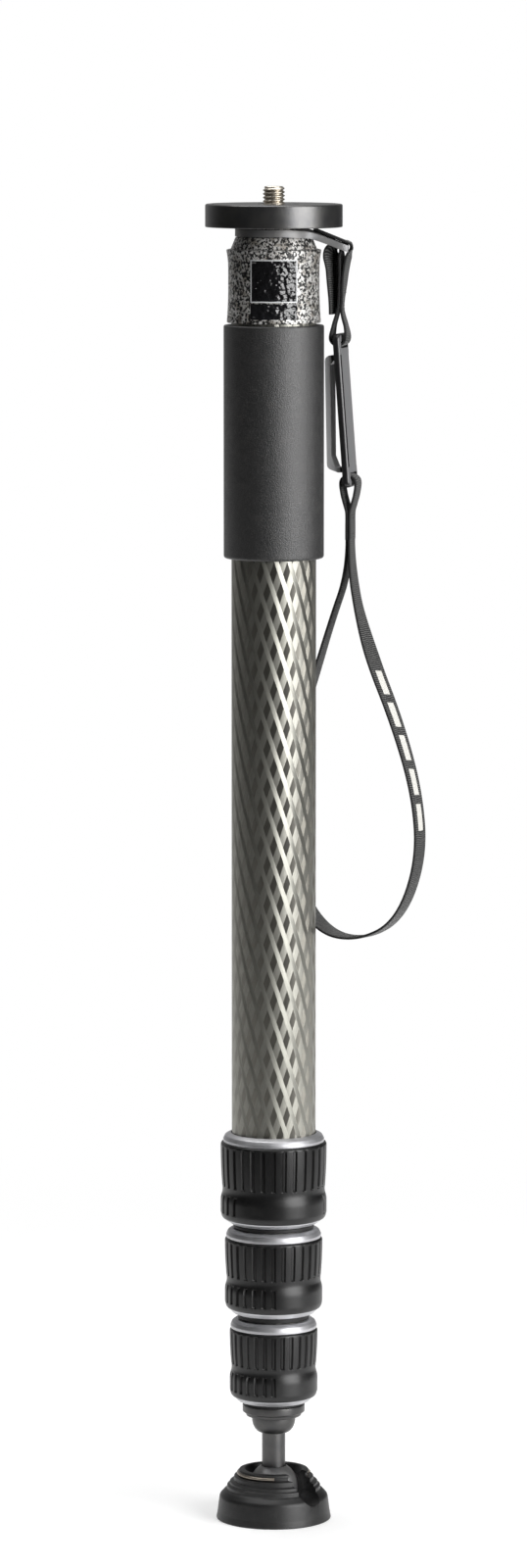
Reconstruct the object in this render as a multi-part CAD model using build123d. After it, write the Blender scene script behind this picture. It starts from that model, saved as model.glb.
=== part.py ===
from build123d import *
from math import atan2, cos, degrees, radians, sin, sqrt, tan
import os

# A four-section camera monopod, collapsed, standing on its ball foot. Millimetres, +Z up.
# The origin is the centre of the foot's flat base. Azimuth 0 is the front (-Y), 90 is +X.

# Clearances
fit_gap = 0.05
glue_gap = 0.05
free_gap = 0.3
ball_gap = 0.12
overrun = 5.0

# Telescoping tubes, widest first
tube_radius = 18.5
tube_wall = 1.5
bush_wall = 0.45
tube_step = tube_wall + fit_gap + bush_wall + glue_gap
section_count = 4
tube_top = 548.0
tube_top_step = 2.0
bush_length = 26.0

# Cast collar round the top of the widest tube, in heights above its own foot
collar_overlap = 17.6
collar_bottom = tube_top - collar_overlap
collar_height = 31.6
collar_shoulder = collar_bottom + collar_height
collar_waist_rise = 13.6
collar_waist_height = 10.0
collar_waist_bottom = collar_bottom + collar_waist_rise
collar_waist_top = collar_waist_bottom + collar_waist_height
collar_foot_wall = 2.0
collar_waist_wall = 1.35
collar_shoulder_wall = 2.2
collar_foot_radius = tube_radius + collar_foot_wall
collar_waist_radius = tube_radius + collar_waist_wall
collar_shoulder_radius = tube_radius + collar_shoulder_wall
collar_ledge = 2.0
neck_height = 5.5
neck_taper = 2.0
neck_top = collar_shoulder + neck_height
neck_bottom_radius = collar_shoulder_radius - collar_ledge
neck_top_radius = neck_bottom_radius - neck_taper
spigot_wall = 4.7
spigot_radius = neck_top_radius - spigot_wall
label_width = 20.2
label_height = 18.5
label_rise = 9.3
label_bottom = collar_bottom + label_rise
label_thickness = 0.35
label_proud = 0.15

# Strap ring between the collar's neck and the platform, with its bent tab
ring_proud = 0.2
ring_radius = neck_top_radius + ring_proud
ring_thickness = 3.2
ring_headroom = 0.8
tab_width = 17.0
tab_thickness = 2.7
tab_bend_inset = 1.4
tab_bend = ring_radius - tab_bend_inset
tab_droop = 22.0
tab_slot_width = 12.0
tab_slot_length = 3.6
tab_slot_corner = 1.2
tab_bar = 1.9
tab_edge_share = 0.6

# Camera platform and stud
disc_radius = 29.9
disc_height = 10.0
disc_bottom = neck_top + free_gap + ring_thickness + ring_headroom
disc_edge = 0.7
disc_chamfer = 0.5
disc_pad_recess = 0.35
disc_pad_margin = 3.3
disc_pad_outer = disc_radius - disc_pad_margin
tab_proud = 2.4
tab_reach = disc_radius + tab_proud
stud_radius = 4.7625
stud_pitch = 1.5875
stud_depth_share = 0.6
stud_crest_share = 0.125
stud_height = 7.6
stud_tip = 0.9
stud_flange_radius = 5.6
stud_flange_height = 1.6
small_stud_radius = 3.175
small_stud_length = 12.0
spanner_slot_width = 1.4
spanner_slot_depth = 1.6
platform_screw_radius = 1.5
platform_screw_head_radius = 2.5
platform_screw_head_height = 1.9
platform_screw_length = 11.0
platform_screw_circle = 8.7
platform_screw_count = 3
hex_socket_width = 2.5
hex_socket_depth = 1.1

# Foam grip sleeve
grip_wall = 3.4
grip_radius = tube_radius + grip_wall
grip_collar_gap = 1.0
grip_length = 101.9
grip_top = collar_bottom - grip_collar_gap
grip_bottom = grip_top - grip_length
grip_edge = 4.6
grip_top_edge = 0.8

# Webbing
web_width = 10.0
web_thickness = 1.3
web_eye_gap = 0.35
web_slit_share = 0.125
tether_seam_top = 9.0
tether_seam_bottom = 27.5
tether_tail_length = 24.0
tether_tail_offset = 6.4
tether_tail_start = 7.0
tail_bend_share = 0.33
neck_seam_top = 13.0
neck_length = 24.5

# Belt clip, hung beside the grip by the tether
clip_clearance = 6.9
clip_drop = 47.8
clip_bar_x = grip_radius + clip_clearance
clip_bar_z = disc_bottom - clip_drop
clip_length = 67.0
clip_width = 15.8
clip_plate = 3.4
clip_bar = 3.4
clip_slot_length = 3.0
clip_slot_width = 11.6
clip_lean = 4.3
clip_turn = 15.0
clip_corner = 2.6
clip_tongue_width = 9.0
clip_tongue_plate = 2.2
clip_tongue_gap = 5.0
clip_tongue_tip = 7.5
clip_tongue_shift = 2.6
clip_hook_height = 4.0
clip_rib_width = 1.0
clip_rib_depth = 0.5
crook_share = 0.33

# Wrist strap loop: the plane it hangs in, and its route there as (sideways, height)
loop_turn = 50.0
loop_route = [
    (0.72, 436.0), (0.72, 419.0), (12.6, 388.0), (31.5, 357.5), (44.6, 328.0), (47.6, 300.0),
    (34.0, 272.0), (8.5, 260.0), (-18.0, 260.8), (-38.5, 280.0), (-46.0, 311.0),
    (-38.6, 343.0), (-25.2, 370.0), (-12.4, 399.0), (-0.72, 422.0), (-0.72, 436.0),
]
arc_run_share = 0.45

# Ball foot
foot_radius = 25.5
foot_floor = 1.33
ball_radius = 11.0
cup_wall = 1.4
cup_rise = 4.6
cup_opening = 10.2
ball_height = foot_floor + glue_gap + cup_wall + ball_gap + ball_radius
cup_top = ball_height + cup_rise
foot_lip_rise = 3.8
foot_height = cup_top + foot_lip_rise
slot_half_width = 5.65
slot_azimuth = 48.0
lip_radius = 15.7
lip_height = 1.3
lip_inner = 12.9
lip_wall_lean = 2.1
neck_radius = 14.9
wire_radius = 0.65
wire_gap_angle = 94.0
tier_radius_shares = [0.9765, 0.9412, 0.8588, 0.8118, 0.7647, 0.6902]
tier_height_shares = [0.1435, 0.4664, 0.565, 0.6682, 0.7444, 0.8565]
tier_edge = 0.9

# Rod, dome nut and flange above the foot
rod_radius = 5.18
rod_hub_radius = 3.4
rod_thread_radius = 4.0
rod_seat_rise = 7.6
rod_bare_length = 17.0
rod_shoulder = ball_height + rod_seat_rise
dome_radius = 9.66
dome_height = 7.1
dome_rim = 0.6
dome_bulge_share = 0.9
dome_bulge_drop_share = 0.55
dome_top = rod_shoulder + rod_bare_length + dome_height
flange_proud = 1.45
flange_taper = 1.6
flange_cone = 2.0
flange_rim = 3.3
flange_radius = tube_radius - (section_count - 1) * tube_step + flange_proud
flange_bottom_radius = flange_radius - flange_taper
flange_bottom = dome_top + dome_rim
flange_groove = flange_bottom + flange_cone
flange_top = flange_groove + flange_rim
plug_height = 14.0
ball_screw_radius = 2.0
ball_screw_head_radius = 3.6
ball_screw_head_height = 2.2

# Twist locks, top one first: gaps below them, heights, and walls over the tube above or below
lock_gaps = [2.3, 2.9, 1.6]
lock_heights = [40.5, 37.9, 36.9]
lock_walls = [4.9, 5.11, 5.04]
lock_rim_walls = [0.8, 1.95, 2.4]
lock_band_walls = [3.8, 4.55, 4.7]
lock_foot_walls = [2.45, 3.6, 3.35]
bumper_walls = [1.35, 1.3, 0.85]
lock_pad_starts = [-38.0, 5.0, 12.0]
lock_rim_drop = 4.0
rim_round_share = 0.7
lock_foot_rise = 2.2
lock_waist_depth = 0.85
lock_waist_rise = 15.3
lock_bulge_low = 5.6
lock_bulge_high = 10.8
lock_lower_edge = 1.6
lock_shoulder = 1.4
lock_rubber = 1.7
lock_lip = 1.2
groove_count = 30
groove_width = 1.25
groove_depth = 0.8
groove_top_drop = 1.2
long_groove_bottom = 17.2
short_groove_bottom = 5.2
short_groove_top = 13.2
pad_angle = 107.0
ferrule_wall = 1.25
thread_height = 0.35
thread_pitch = 1.6
collet_length = 11.0
collet_taper = 0.8
collet_root_taper = 0.2
collet_slit = 1.4
seal_height = 1.8
seal_floor = 1.0

written = []
upright = Rot(90, 0, 0)


def save(node, shape):
    shape.label = node
    export_step(shape, f"parts/{node}.step")
    written.append(node)


def revolved(points):
    """A solid of revolution about Z from (radius, height) points."""
    outline = Plane.XZ * make_face(Polyline(*points, close=True))
    return revolve(outline, Axis.Z)


def tube(outer, inner, low, high):
    return Pos(0, 0, low) * extrude(Circle(outer) - Circle(inner), high - low)


def rod(radius, low, high):
    return Pos(0, 0, low) * extrude(Circle(radius), high - low)


def around(azimuth):
    """A turn about Z that brings the +X side to an azimuth counted from the front."""
    return Rot(0, 0, azimuth - 90)


def section_radius(number):
    return tube_radius - (number - 1) * tube_step


def section_top(number):
    return tube_top - number * tube_top_step


def lock_bottom(number):
    """Each lock stands a little above the one below it, and the lowest above the flange."""
    below = flange_top
    if number < section_count - 1:
        below = lock_bottom(number + 1) + lock_heights[number]
    return below + lock_gaps[number - 1]


# Camera platform

def threaded_stud():
    """The wide stud above the platform: crests on one cylinder, one root between each pair."""
    root = stud_radius - stud_depth_share * stud_pitch
    crest = stud_crest_share * stud_pitch
    flank = (stud_pitch - 2 * crest) / 2
    base = disc_bottom + disc_height
    top = base + stud_height
    points = [(0, base), (stud_radius, base)]
    level = base
    while level + stud_pitch < top - stud_tip:
        points += [(stud_radius, level + crest), (root, level + crest + flank)]
        points += [(root, level + stud_pitch - flank), (stud_radius, level + stud_pitch)]
        level += stud_pitch
    points += [(stud_radius, top - stud_tip), (stud_radius - stud_tip, top), (0, top)]
    stud = revolved(points)
    flange = rod(stud_flange_radius, base - stud_flange_height, base)
    small = rod(small_stud_radius, base - stud_flange_height - small_stud_length, base)
    slot = Pos(0, 0, top) * Box(3 * stud_radius, spanner_slot_width, 2 * spanner_slot_depth)
    return stud + flange + small - slot


def platform_screw_places():
    return [Rot(0, 0, 360 * step / platform_screw_count) * Pos(platform_screw_circle, 0, 0)
            for step in range(platform_screw_count)]


def platform():
    top = disc_bottom + disc_height
    disc = rod(disc_radius, disc_bottom, top)
    disc = fillet(disc.edges().group_by(Axis.Z)[-1], disc_edge)
    disc = chamfer(disc.edges().group_by(Axis.Z)[0], disc_chamfer)
    pad_ring = tube(disc_pad_outer, disc_pad_outer - 2 * disc_pad_recess,
                    top - disc_pad_recess, top + overrun)
    seat = rod(stud_flange_radius + glue_gap, top - stud_flange_height - glue_gap, top + overrun)
    bore = rod(small_stud_radius + glue_gap, disc_bottom - overrun, top)
    disc = disc - pad_ring - seat - bore
    for place in platform_screw_places():
        disc -= place * rod(platform_screw_head_radius + glue_gap,
                            top - platform_screw_head_height - glue_gap - disc_pad_recess, top + overrun)
        disc -= place * rod(platform_screw_radius + glue_gap, disc_bottom - overrun, top)
    return disc


def platform_screws():
    top = disc_bottom + disc_height - disc_pad_recess
    head = rod(platform_screw_head_radius, top - platform_screw_head_height, top)
    shank = rod(platform_screw_radius, top - platform_screw_length, top - platform_screw_head_height)
    socket = Pos(0, 0, top) * extrude(
        RegularPolygon(hex_socket_width / sqrt(3), 6), -hex_socket_depth)
    screw = head + shank - socket
    return Compound(children=[place * screw for place in platform_screw_places()])


# Head: the cast collar, its label and the foam grip

def collar_casting():
    socket_top = tube_top + free_gap
    socket_radius = tube_radius + glue_gap
    waist = [(collar_foot_radius, collar_bottom), (collar_waist_radius, collar_waist_bottom),
             (collar_waist_radius, collar_waist_top), (collar_shoulder_radius, collar_shoulder)]
    side = Spline(*waist)
    rest = Polyline((collar_shoulder_radius, collar_shoulder), (neck_bottom_radius, collar_shoulder),
                    (neck_top_radius, neck_top), (spigot_radius, neck_top),
                    (spigot_radius, disc_bottom), (0, disc_bottom), (0, socket_top),
                    (socket_radius, socket_top), (socket_radius, collar_bottom),
                    (collar_foot_radius, collar_bottom))
    casting = revolve(Plane.XZ * make_face([side, rest]), Axis.Z)
    small_top = disc_bottom + disc_height - stud_flange_height
    casting -= rod(small_stud_radius + glue_gap, small_top - small_stud_length - free_gap, disc_bottom)
    screw_top = disc_bottom + disc_height - disc_pad_recess
    for place in platform_screw_places():
        casting -= place * rod(platform_screw_radius + glue_gap,
                               screw_top - platform_screw_length - free_gap, disc_bottom)
    return casting - label_blank(label_thickness - label_proud, glue_gap)


def label_blank(depth, margin):
    """A patch of cylinder wall at the front of the collar, the label's own size plus a margin."""
    outer = collar_waist_radius + label_proud + overrun * (margin > 0)
    wall = tube(outer, collar_waist_radius - depth, label_bottom - margin,
                label_bottom + label_height + margin)
    window = Pos(0, -collar_waist_radius, label_bottom + label_height / 2) * Box(
        label_width + 2 * margin, collar_waist_radius, label_height + 2 * margin)
    return wall & window


def label_panel():
    return label_blank(label_thickness - label_proud - glue_gap, 0)


def grip_sleeve():
    sleeve = tube(grip_radius, tube_radius + glue_gap, grip_bottom, grip_top)
    outer = sleeve.edges().filter_by(GeomType.CIRCLE).sort_by(lambda edge: edge.radius)[-2:]
    low = outer.sort_by(Axis.Z)[0]
    high = outer.sort_by(Axis.Z)[-1]
    wall = grip_radius - tube_radius
    sleeve = fillet(low, min(grip_edge, wall - free_gap))
    top_edges = sleeve.edges().group_by(Axis.Z)[-1].sort_by(lambda edge: edge.radius)
    return fillet(top_edges[-1], grip_top_edge)


# Strap ring: a flat ring under the platform with a tab bent down past its edge

def tab_frame():
    """The frame of the drooping part of the tab: X along it, from the bend."""
    middle = neck_top + free_gap + ring_thickness - tab_thickness / 2
    return Pos(tab_bend, 0, middle) * Rot(0, tab_droop, 0)


def tab_run():
    return (tab_reach - tab_bend) / cos(radians(tab_droop))


def tab_pivot():
    """Centre of the tab's outer bar, which the tether hangs from."""
    point = (tab_frame() * Pos(tab_run() - tab_bar / 2, 0, 0)).position
    return point.X, point.Z


def strap_ring():
    low = neck_top + free_gap
    high = low + ring_thickness
    ring = rod(ring_radius, low, high)
    run = tab_run()
    half = tab_thickness / 2
    middle = high - half
    droop = radians(tab_droop)
    bend = tan(droop / 2) * half
    end_x = tab_bend + run * cos(droop)
    end_z = middle - run * sin(droop)
    across = half * sin(droop)
    down = half * cos(droop)
    side = Plane.XZ * make_face(Polyline(
        (0, high), (tab_bend + bend, high), (end_x + across, end_z + down),
        (end_x - across, end_z - down), (tab_bend - bend, middle - half), (0, middle - half), close=True))
    tab = extrude(side, tab_width / 2, both=True)
    tab = fillet(tab.edges().filter_by(Axis.Y).sort_by(Axis.X)[-2:], half * tab_edge_share)
    slot = tab_frame() * Pos(run - tab_bar - tab_slot_length / 2, 0, 0) * extrude(
        RectangleRounded(tab_slot_length, tab_slot_width, tab_slot_corner), tab_thickness, both=True)
    hole = rod(spigot_radius + free_gap, low - overrun, high + overrun)
    return ring + tab - slot - hole


# Webbing pieces

def teardrop(radius, tip, tip_radius):
    """The shape that a ply of webbing takes round a bar: a round eye drawn to a tip below it."""
    eye = CenterArc((0, 0), radius, 0, 360)
    end = CenterArc((0, -tip), tip_radius, 0, 360)
    return make_hull([eye, end])


def bar_eye(bar_x, bar_z):
    return sqrt(bar_x ** 2 + bar_z ** 2) / 2 + web_eye_gap


def tether_span():
    """Distance and lean of the line from the tab's bar to the clip's top bar."""
    pivot_x, pivot_z = tab_pivot()
    across = clip_bar_x - pivot_x
    down = pivot_z - clip_bar_z
    return sqrt(across ** 2 + down ** 2), degrees(atan2(-across, down))


def tether_strap():
    span, lean = tether_span()
    top_eye = bar_eye(tab_bar, tab_thickness)
    low_eye = bar_eye(clip_bar, clip_plate)
    hair = web_thickness * web_slit_share
    seam = (tether_seam_top + tether_seam_bottom) / 2
    ply = tether_seam_bottom - tether_seam_top
    upper = teardrop(top_eye + web_thickness, tether_seam_top, web_thickness)
    upper += Pos(0, -seam + ply / 4) * Rectangle(2 * web_thickness, ply / 2)
    upper += tether_tail()
    upper -= teardrop(top_eye, tether_seam_top, hair)
    lower = Rot(0, 0, 180) * teardrop(low_eye + web_thickness, span - tether_seam_bottom, web_thickness)
    lower -= Rot(0, 0, 180) * teardrop(low_eye, span - tether_seam_bottom, hair)
    lower = Pos(0, -span) * lower + Pos(0, -seam - ply / 4) * Rectangle(2 * web_thickness, ply / 2)
    strap = extrude(upright * upper, web_width / 2, both=True)
    strap += Rot(0, 0, -clip_turn) * extrude(upright * lower, web_width / 2, both=True)
    pivot_x, pivot_z = tab_pivot()
    return Pos(pivot_x, 0, pivot_z) * Rot(0, lean, 0) * strap


def tether_tail():
    """The loose end of the webbing, which hangs inside the tether from its seam."""
    top = (-web_thickness / 2, -tether_tail_start)
    bend = (-tether_tail_offset, -tether_tail_start - web_width / 2)
    end = (-tether_tail_offset + web_thickness, -tether_tail_start - tether_tail_length)
    return trace(FilletPolyline(top, bend, end, radius=web_width * tail_bend_share), web_thickness)


def clip_frame():
    return Pos(clip_bar_x, 0, clip_bar_z) * Rot(0, 0, -clip_turn) * Rot(0, -clip_lean, 0)


def clip_span():
    return clip_length - clip_bar


def clip_low_bar():
    return (clip_frame() * Pos(0, 0, -clip_span())).position


def wrist_strap_neck():
    low_eye = bar_eye(clip_bar, clip_plate)
    outline = teardrop(low_eye + web_thickness, neck_seam_top, web_thickness)
    hole = teardrop(low_eye, neck_seam_top, web_thickness * web_slit_share)
    legs = Pos(0, -(neck_seam_top + neck_length) / 2) * Rectangle(
        2 * web_thickness, neck_length - neck_seam_top)
    bar = clip_low_bar()
    placed = Pos(bar.X, bar.Y, bar.Z) * Rot(0, 0, -clip_turn) * upright * (outline + legs - hole)
    return extrude(placed, web_width / 2, both=True)


def route_radii(route):
    """The largest fillet that each corner of a route takes from its two runs."""
    radii = []
    for before, here, after in zip(route, route[1:], route[2:]):
        run_in = Vector(here[0] - before[0], here[1] - before[1])
        run_out = Vector(after[0] - here[0], after[1] - here[1])
        half_turn = radians(run_in.get_angle(run_out)) / 2
        radii.append(arc_run_share * min(run_in.length, run_out.length) / tan(half_turn))
    return radii


def wrist_strap_loop():
    bar = clip_low_bar()
    start = bar.Z - neck_length
    drop = start - loop_route[0][1]
    route = [(across, height + drop) for across, height in loop_route]
    radii = route_radii(route)
    print("wrist strap corner radii", [round(radius, 1) for radius in radii])
    path = FilletPolyline(*route, radius=radii)
    section = Plane(origin=path @ 0, x_dir=(0, 0, 1), z_dir=path % 0) * Rectangle(web_width, web_thickness)
    ribbon = sweep(section, path=path)
    print("wrist strap length", round(path.length, 1), "volume", round(ribbon.volume, 1),
          "expected", round(path.length * web_width * web_thickness, 1))
    return Pos(bar.X, bar.Y, 0) * Rot(0, 0, -loop_turn) * upright * ribbon


# Belt clip, in a frame with its top bar at the origin and the plate's outer face towards +X

def belt_clip():
    half = clip_plate / 2
    inner = -half - clip_tongue_gap
    back = inner - clip_tongue_plate
    top = clip_bar / 2
    low = top - clip_length
    plate = Pos(0, 0, (top + low) / 2) * Box(clip_plate, clip_width, clip_length)
    plate = fillet(plate.edges().filter_by(Axis.X), clip_corner)
    plate = fillet(plate.edges().filter_by(Axis.Y), half - free_gap)
    for level in (-clip_bar / 2 - clip_slot_length / 2, -clip_span() + clip_bar / 2 + clip_slot_length / 2):
        plate -= Pos(0, 0, level) * Box(clip_length, clip_slot_width, clip_slot_length)
    ribs_top = -clip_bar / 2 - clip_slot_length - clip_corner
    ribs_low = -clip_span() - ribs_top
    for side in (-1, 1):
        plate -= Pos(half, side * (clip_slot_width / 2 + clip_rib_width), (ribs_top + ribs_low) / 2) * Box(
            2 * clip_rib_depth, clip_rib_width, ribs_top - ribs_low)
    base = -clip_span() + clip_bar / 2 + clip_slot_length + free_gap
    crook = base + clip_tongue_plate
    tip = -clip_tongue_tip
    buried = -half + clip_rib_depth
    outline = [
        (buried, base), (back + clip_tongue_gap, base), (back, crook), (back + clip_tongue_shift, tip),
        (-half - free_gap, tip), (-half - free_gap, tip - clip_hook_height / 2),
        (inner + clip_tongue_shift, tip - clip_hook_height), (inner, crook + clip_tongue_gap),
        (inner + clip_tongue_gap * crook_share, crook), (buried, crook),
    ]
    soft = clip_tongue_gap / 2
    tight = clip_rib_depth
    radii = [0, soft, soft, soft, tight, tight, tight, soft, tight, 0]
    side = make_face(FilletPolyline(*outline, radius=radii, close=True))
    tongue = extrude(Plane.XZ * side, clip_tongue_width / 2, both=True)
    return clip_frame() * (plate + tongue)


# Twist locks

def lock_spots(number):
    """Heights and radii of one lock, worked out once for all of its pieces."""
    index = number - 1
    outer = section_radius(number)
    inner = section_radius(number + 1)
    low = lock_bottom(number)
    high = low + lock_heights[index]
    ferrule_top = high - lock_lip - free_gap
    seal_low = low + seal_floor + free_gap
    collet_low = seal_low + seal_height + free_gap
    ferrule_low = collet_low + collet_length
    return {
        "outer": outer, "inner": inner, "low": low, "high": high,
        "ferrule_top": ferrule_top, "ferrule_low": ferrule_low, "collet_low": collet_low,
        "seal_low": seal_low, "crest": outer + glue_gap + ferrule_wall + thread_height,
        "grip": outer + lock_walls[index], "rim": outer + lock_rim_walls[index],
        "band": outer + lock_band_walls[index], "foot": inner + lock_foot_walls[index],
        "pad": lock_pad_starts[index],
    }


def lock_collar(number):
    """The aluminium twist collar: its rims show above and below the rubber."""
    spot = lock_spots(number)
    core = spot["grip"] - lock_rubber
    band_top = spot["high"] - lock_rim_drop
    foot_top = spot["low"] + lock_foot_rise
    bore = spot["crest"] + free_gap
    pocket = spot["outer"] + free_gap
    hole = spot["inner"] + free_gap
    seal_top = spot["seal_low"] + seal_height
    throat = (hole + pocket) / 2
    points = [
        (spot["outer"] + free_gap, spot["high"]), (spot["rim"], spot["high"]),
        (spot["rim"] + (spot["band"] - spot["rim"]) * rim_round_share, spot["high"] - lock_lip),
        (spot["band"], band_top + lock_lip), (spot["band"], band_top), (core, band_top),
        (core, foot_top), (core - lock_lip / 2, foot_top - lock_lip / 2), (spot["foot"], spot["low"]),
        (hole, spot["low"]), (hole, spot["seal_low"] - glue_gap),
        (throat, spot["seal_low"] - glue_gap), (throat, seal_top),
        (pocket - collet_taper, spot["collet_low"]), (pocket, spot["collet_low"] + collet_taper * 2),
        (pocket, spot["ferrule_low"] - free_gap), (bore, spot["ferrule_low"] - free_gap),
        (bore, spot["high"] - lock_lip), (spot["outer"] + free_gap, spot["high"] - lock_lip),
    ]
    return revolved(points)


def lock_grip(number):
    spot = lock_spots(number)
    radius = spot["grip"]
    core = radius - lock_rubber + glue_gap
    high = spot["high"] - lock_rim_drop
    low = spot["low"] + lock_foot_rise
    waist = radius - lock_waist_depth
    base = spot["low"]
    side = Spline((radius, high - lock_shoulder), (waist, base + lock_waist_rise),
                  (radius, base + lock_bulge_high), (radius, base + lock_bulge_low),
                  tangents=[(0, -1), (0, -1)])
    rest = Polyline((radius, base + lock_bulge_low), (radius - lock_lower_edge, low), (core, low),
                    (core, high), (radius - lock_shoulder, high), (radius, high - lock_shoulder))
    sleeve = revolve(Plane.XZ * make_face([side, rest]), Axis.Z)
    floor = radius - groove_depth
    for step in range(groove_count):
        azimuth = 360 * step / groove_count
        sleeve -= groove(azimuth, floor, base + long_groove_bottom, high - groove_top_drop)
        if (azimuth - spot["pad"]) % 360 > pad_angle:
            sleeve -= groove(azimuth, floor, base + short_groove_bottom, base + short_groove_top)
    return sleeve


def groove(azimuth, floor, low, high):
    height = high - low
    cutter = Pos(floor + overrun / 2, 0, (low + high) / 2) * Box(overrun, groove_width, height)
    return around(azimuth) * cutter


def lock_seal(number):
    spot = lock_spots(number)
    hole = spot["inner"] + free_gap
    throat = hole + (spot["outer"] + free_gap - hole) / 2
    return tube(throat - glue_gap, hole, spot["seal_low"], spot["seal_low"] + seal_height)


# Pieces of a tube section

def section_tube(number):
    radius = section_radius(number)
    if number < section_count:
        low = lock_spots(number)["ferrule_low"]
    else:
        low = flange_top
    return tube(radius, radius - tube_wall, low, section_top(number))


def guide_bush(number):
    """Two half shells round the top of an inner tube."""
    radius = section_radius(number) + glue_gap
    high = section_top(number) - bush_wall
    shell = tube(radius + bush_wall, radius, high - bush_length, high)
    gap = Box(4 * radius, 2 * bush_wall, 4 * section_top(number))
    return Compound(children=list((shell - gap).solids()))


def ferrule(number):
    """The threaded sleeve glued round the lower end of a tube."""
    spot = lock_spots(number)
    inner = spot["outer"] + glue_gap
    root = inner + ferrule_wall
    crest = spot["crest"]
    level = spot["ferrule_low"]
    points = [(inner, level), (root, level)]
    while level + 2 * thread_pitch < spot["ferrule_top"]:
        points += [(root, level + thread_pitch / 2), (crest, level + thread_pitch - thread_height),
                   (root, level + thread_pitch)]
        level += thread_pitch
    points += [(root, spot["ferrule_top"]), (inner, spot["ferrule_top"])]
    return revolved(points)


def collet(number):
    """The split ring below a tube's end, which the twist collar squeezes onto the next tube."""
    spot = lock_spots(number)
    inner = spot["inner"] + fit_gap
    low = spot["collet_low"] + free_gap
    high = spot["ferrule_low"] - glue_gap
    ring = revolved([(inner, low), (spot["outer"] - 2 * collet_taper, low),
                     (spot["outer"] - collet_root_taper, low + 2 * collet_taper),
                     (spot["outer"], high), (inner, high)])
    slit = Pos(spot["outer"], 0, (low + high) / 2) * Box(spot["outer"], collet_slit, collet_length * 2)
    return ring - around(180) * slit


def bumper(number):
    """The soft ring that a section's lock closes against, under the lock above."""
    radius = section_radius(number)
    above = lock_bottom(number - 1)
    below = flange_top
    if number < section_count:
        below = lock_spots(number)["high"] + free_gap
    return tube(radius + bumper_walls[number - 2], radius + glue_gap, below, above - free_gap)


# Foot end: the plug in the last tube, the flange, the dome nut and the ball foot

def bottom_plug():
    radius = section_radius(section_count) - tube_wall - glue_gap
    return tube(radius, rod_thread_radius + glue_gap, flange_top, flange_top + plug_height)


def foot_flange():
    outline = [(rod_thread_radius + glue_gap, flange_top), (flange_radius, flange_top),
               (flange_radius, flange_groove), (flange_bottom_radius, flange_bottom),
               (rod_thread_radius + glue_gap, flange_bottom)]
    return revolved(outline)


def foot_dome_nut():
    low = dome_top - dome_height
    bulge = (dome_radius * dome_bulge_share, dome_top - dome_height * dome_bulge_drop_share)
    side = ThreePointArc((dome_radius, dome_top), bulge, (rod_radius + glue_gap, low))
    rest = Polyline((rod_radius + glue_gap, low), (rod_radius + glue_gap, flange_bottom - free_gap),
                    (rod_thread_radius + glue_gap, flange_bottom - free_gap),
                    (rod_thread_radius + glue_gap, flange_bottom), (dome_radius, flange_bottom),
                    (dome_radius, dome_top))
    return revolve(Plane.XZ * make_face([side, rest]), Axis.Z)


def foot_rod():
    shoulder = flange_bottom - free_gap - glue_gap
    body = rod(rod_radius, rod_shoulder, shoulder)
    thread = rod(rod_thread_radius, shoulder, flange_top + plug_height)
    hub_low = ball_height - ball_radius + 2 * ball_screw_head_height
    hub = rod(rod_hub_radius, hub_low, rod_shoulder)
    bore = rod(ball_screw_radius + glue_gap, hub_low - overrun, rod_shoulder - rod_radius)
    return body + thread + hub - bore


def ball_screw():
    head_top = ball_height - ball_radius + 2 * ball_screw_head_height - fit_gap
    head = rod(ball_screw_head_radius, head_top - ball_screw_head_height, head_top)
    shank = rod(ball_screw_radius, head_top, rod_shoulder - rod_radius - free_gap)
    socket = Pos(0, 0, head_top - ball_screw_head_height) * extrude(
        RegularPolygon(hex_socket_width / sqrt(3), 6), hex_socket_depth)
    return head + shank - socket


def foot_ball():
    ball = Pos(0, 0, ball_height) * Sphere(ball_radius)
    seat_low = rod_shoulder - free_gap
    hub_low = ball_height - ball_radius + 2 * ball_screw_head_height
    bore = rod(rod_hub_radius + fit_gap, hub_low, ball_height + ball_radius)
    seat = rod(rod_radius + free_gap, seat_low, ball_height + 2 * ball_radius)
    pocket = rod(ball_screw_head_radius + free_gap, ball_height - 2 * ball_radius, hub_low)
    return ball - bore - seat - pocket


def slot_cutter(top):
    """The way the rod takes when the foot tilts to lie along it, towards +X of the foot."""
    way = Pos(0, 0, ball_height) * Rot(0, 90, 0) * extrude(Circle(slot_half_width), 2 * foot_radius)
    above = Pos(foot_radius, 0, (ball_height + top + overrun) / 2) * Box(
        2 * foot_radius, 2 * slot_half_width, top + overrun - ball_height)
    return way + above


def socket_cup():
    outer = ball_radius + ball_gap + cup_wall
    shell = Pos(0, 0, ball_height) * (Sphere(outer) - Sphere(ball_radius + ball_gap))
    lid = rod(2 * outer, cup_top, ball_height + 2 * outer)
    mouth = rod(cup_opening, ball_height, ball_height + 2 * outer)
    return around(slot_azimuth) * (shell - lid - mouth - slot_cutter(cup_top))


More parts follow.
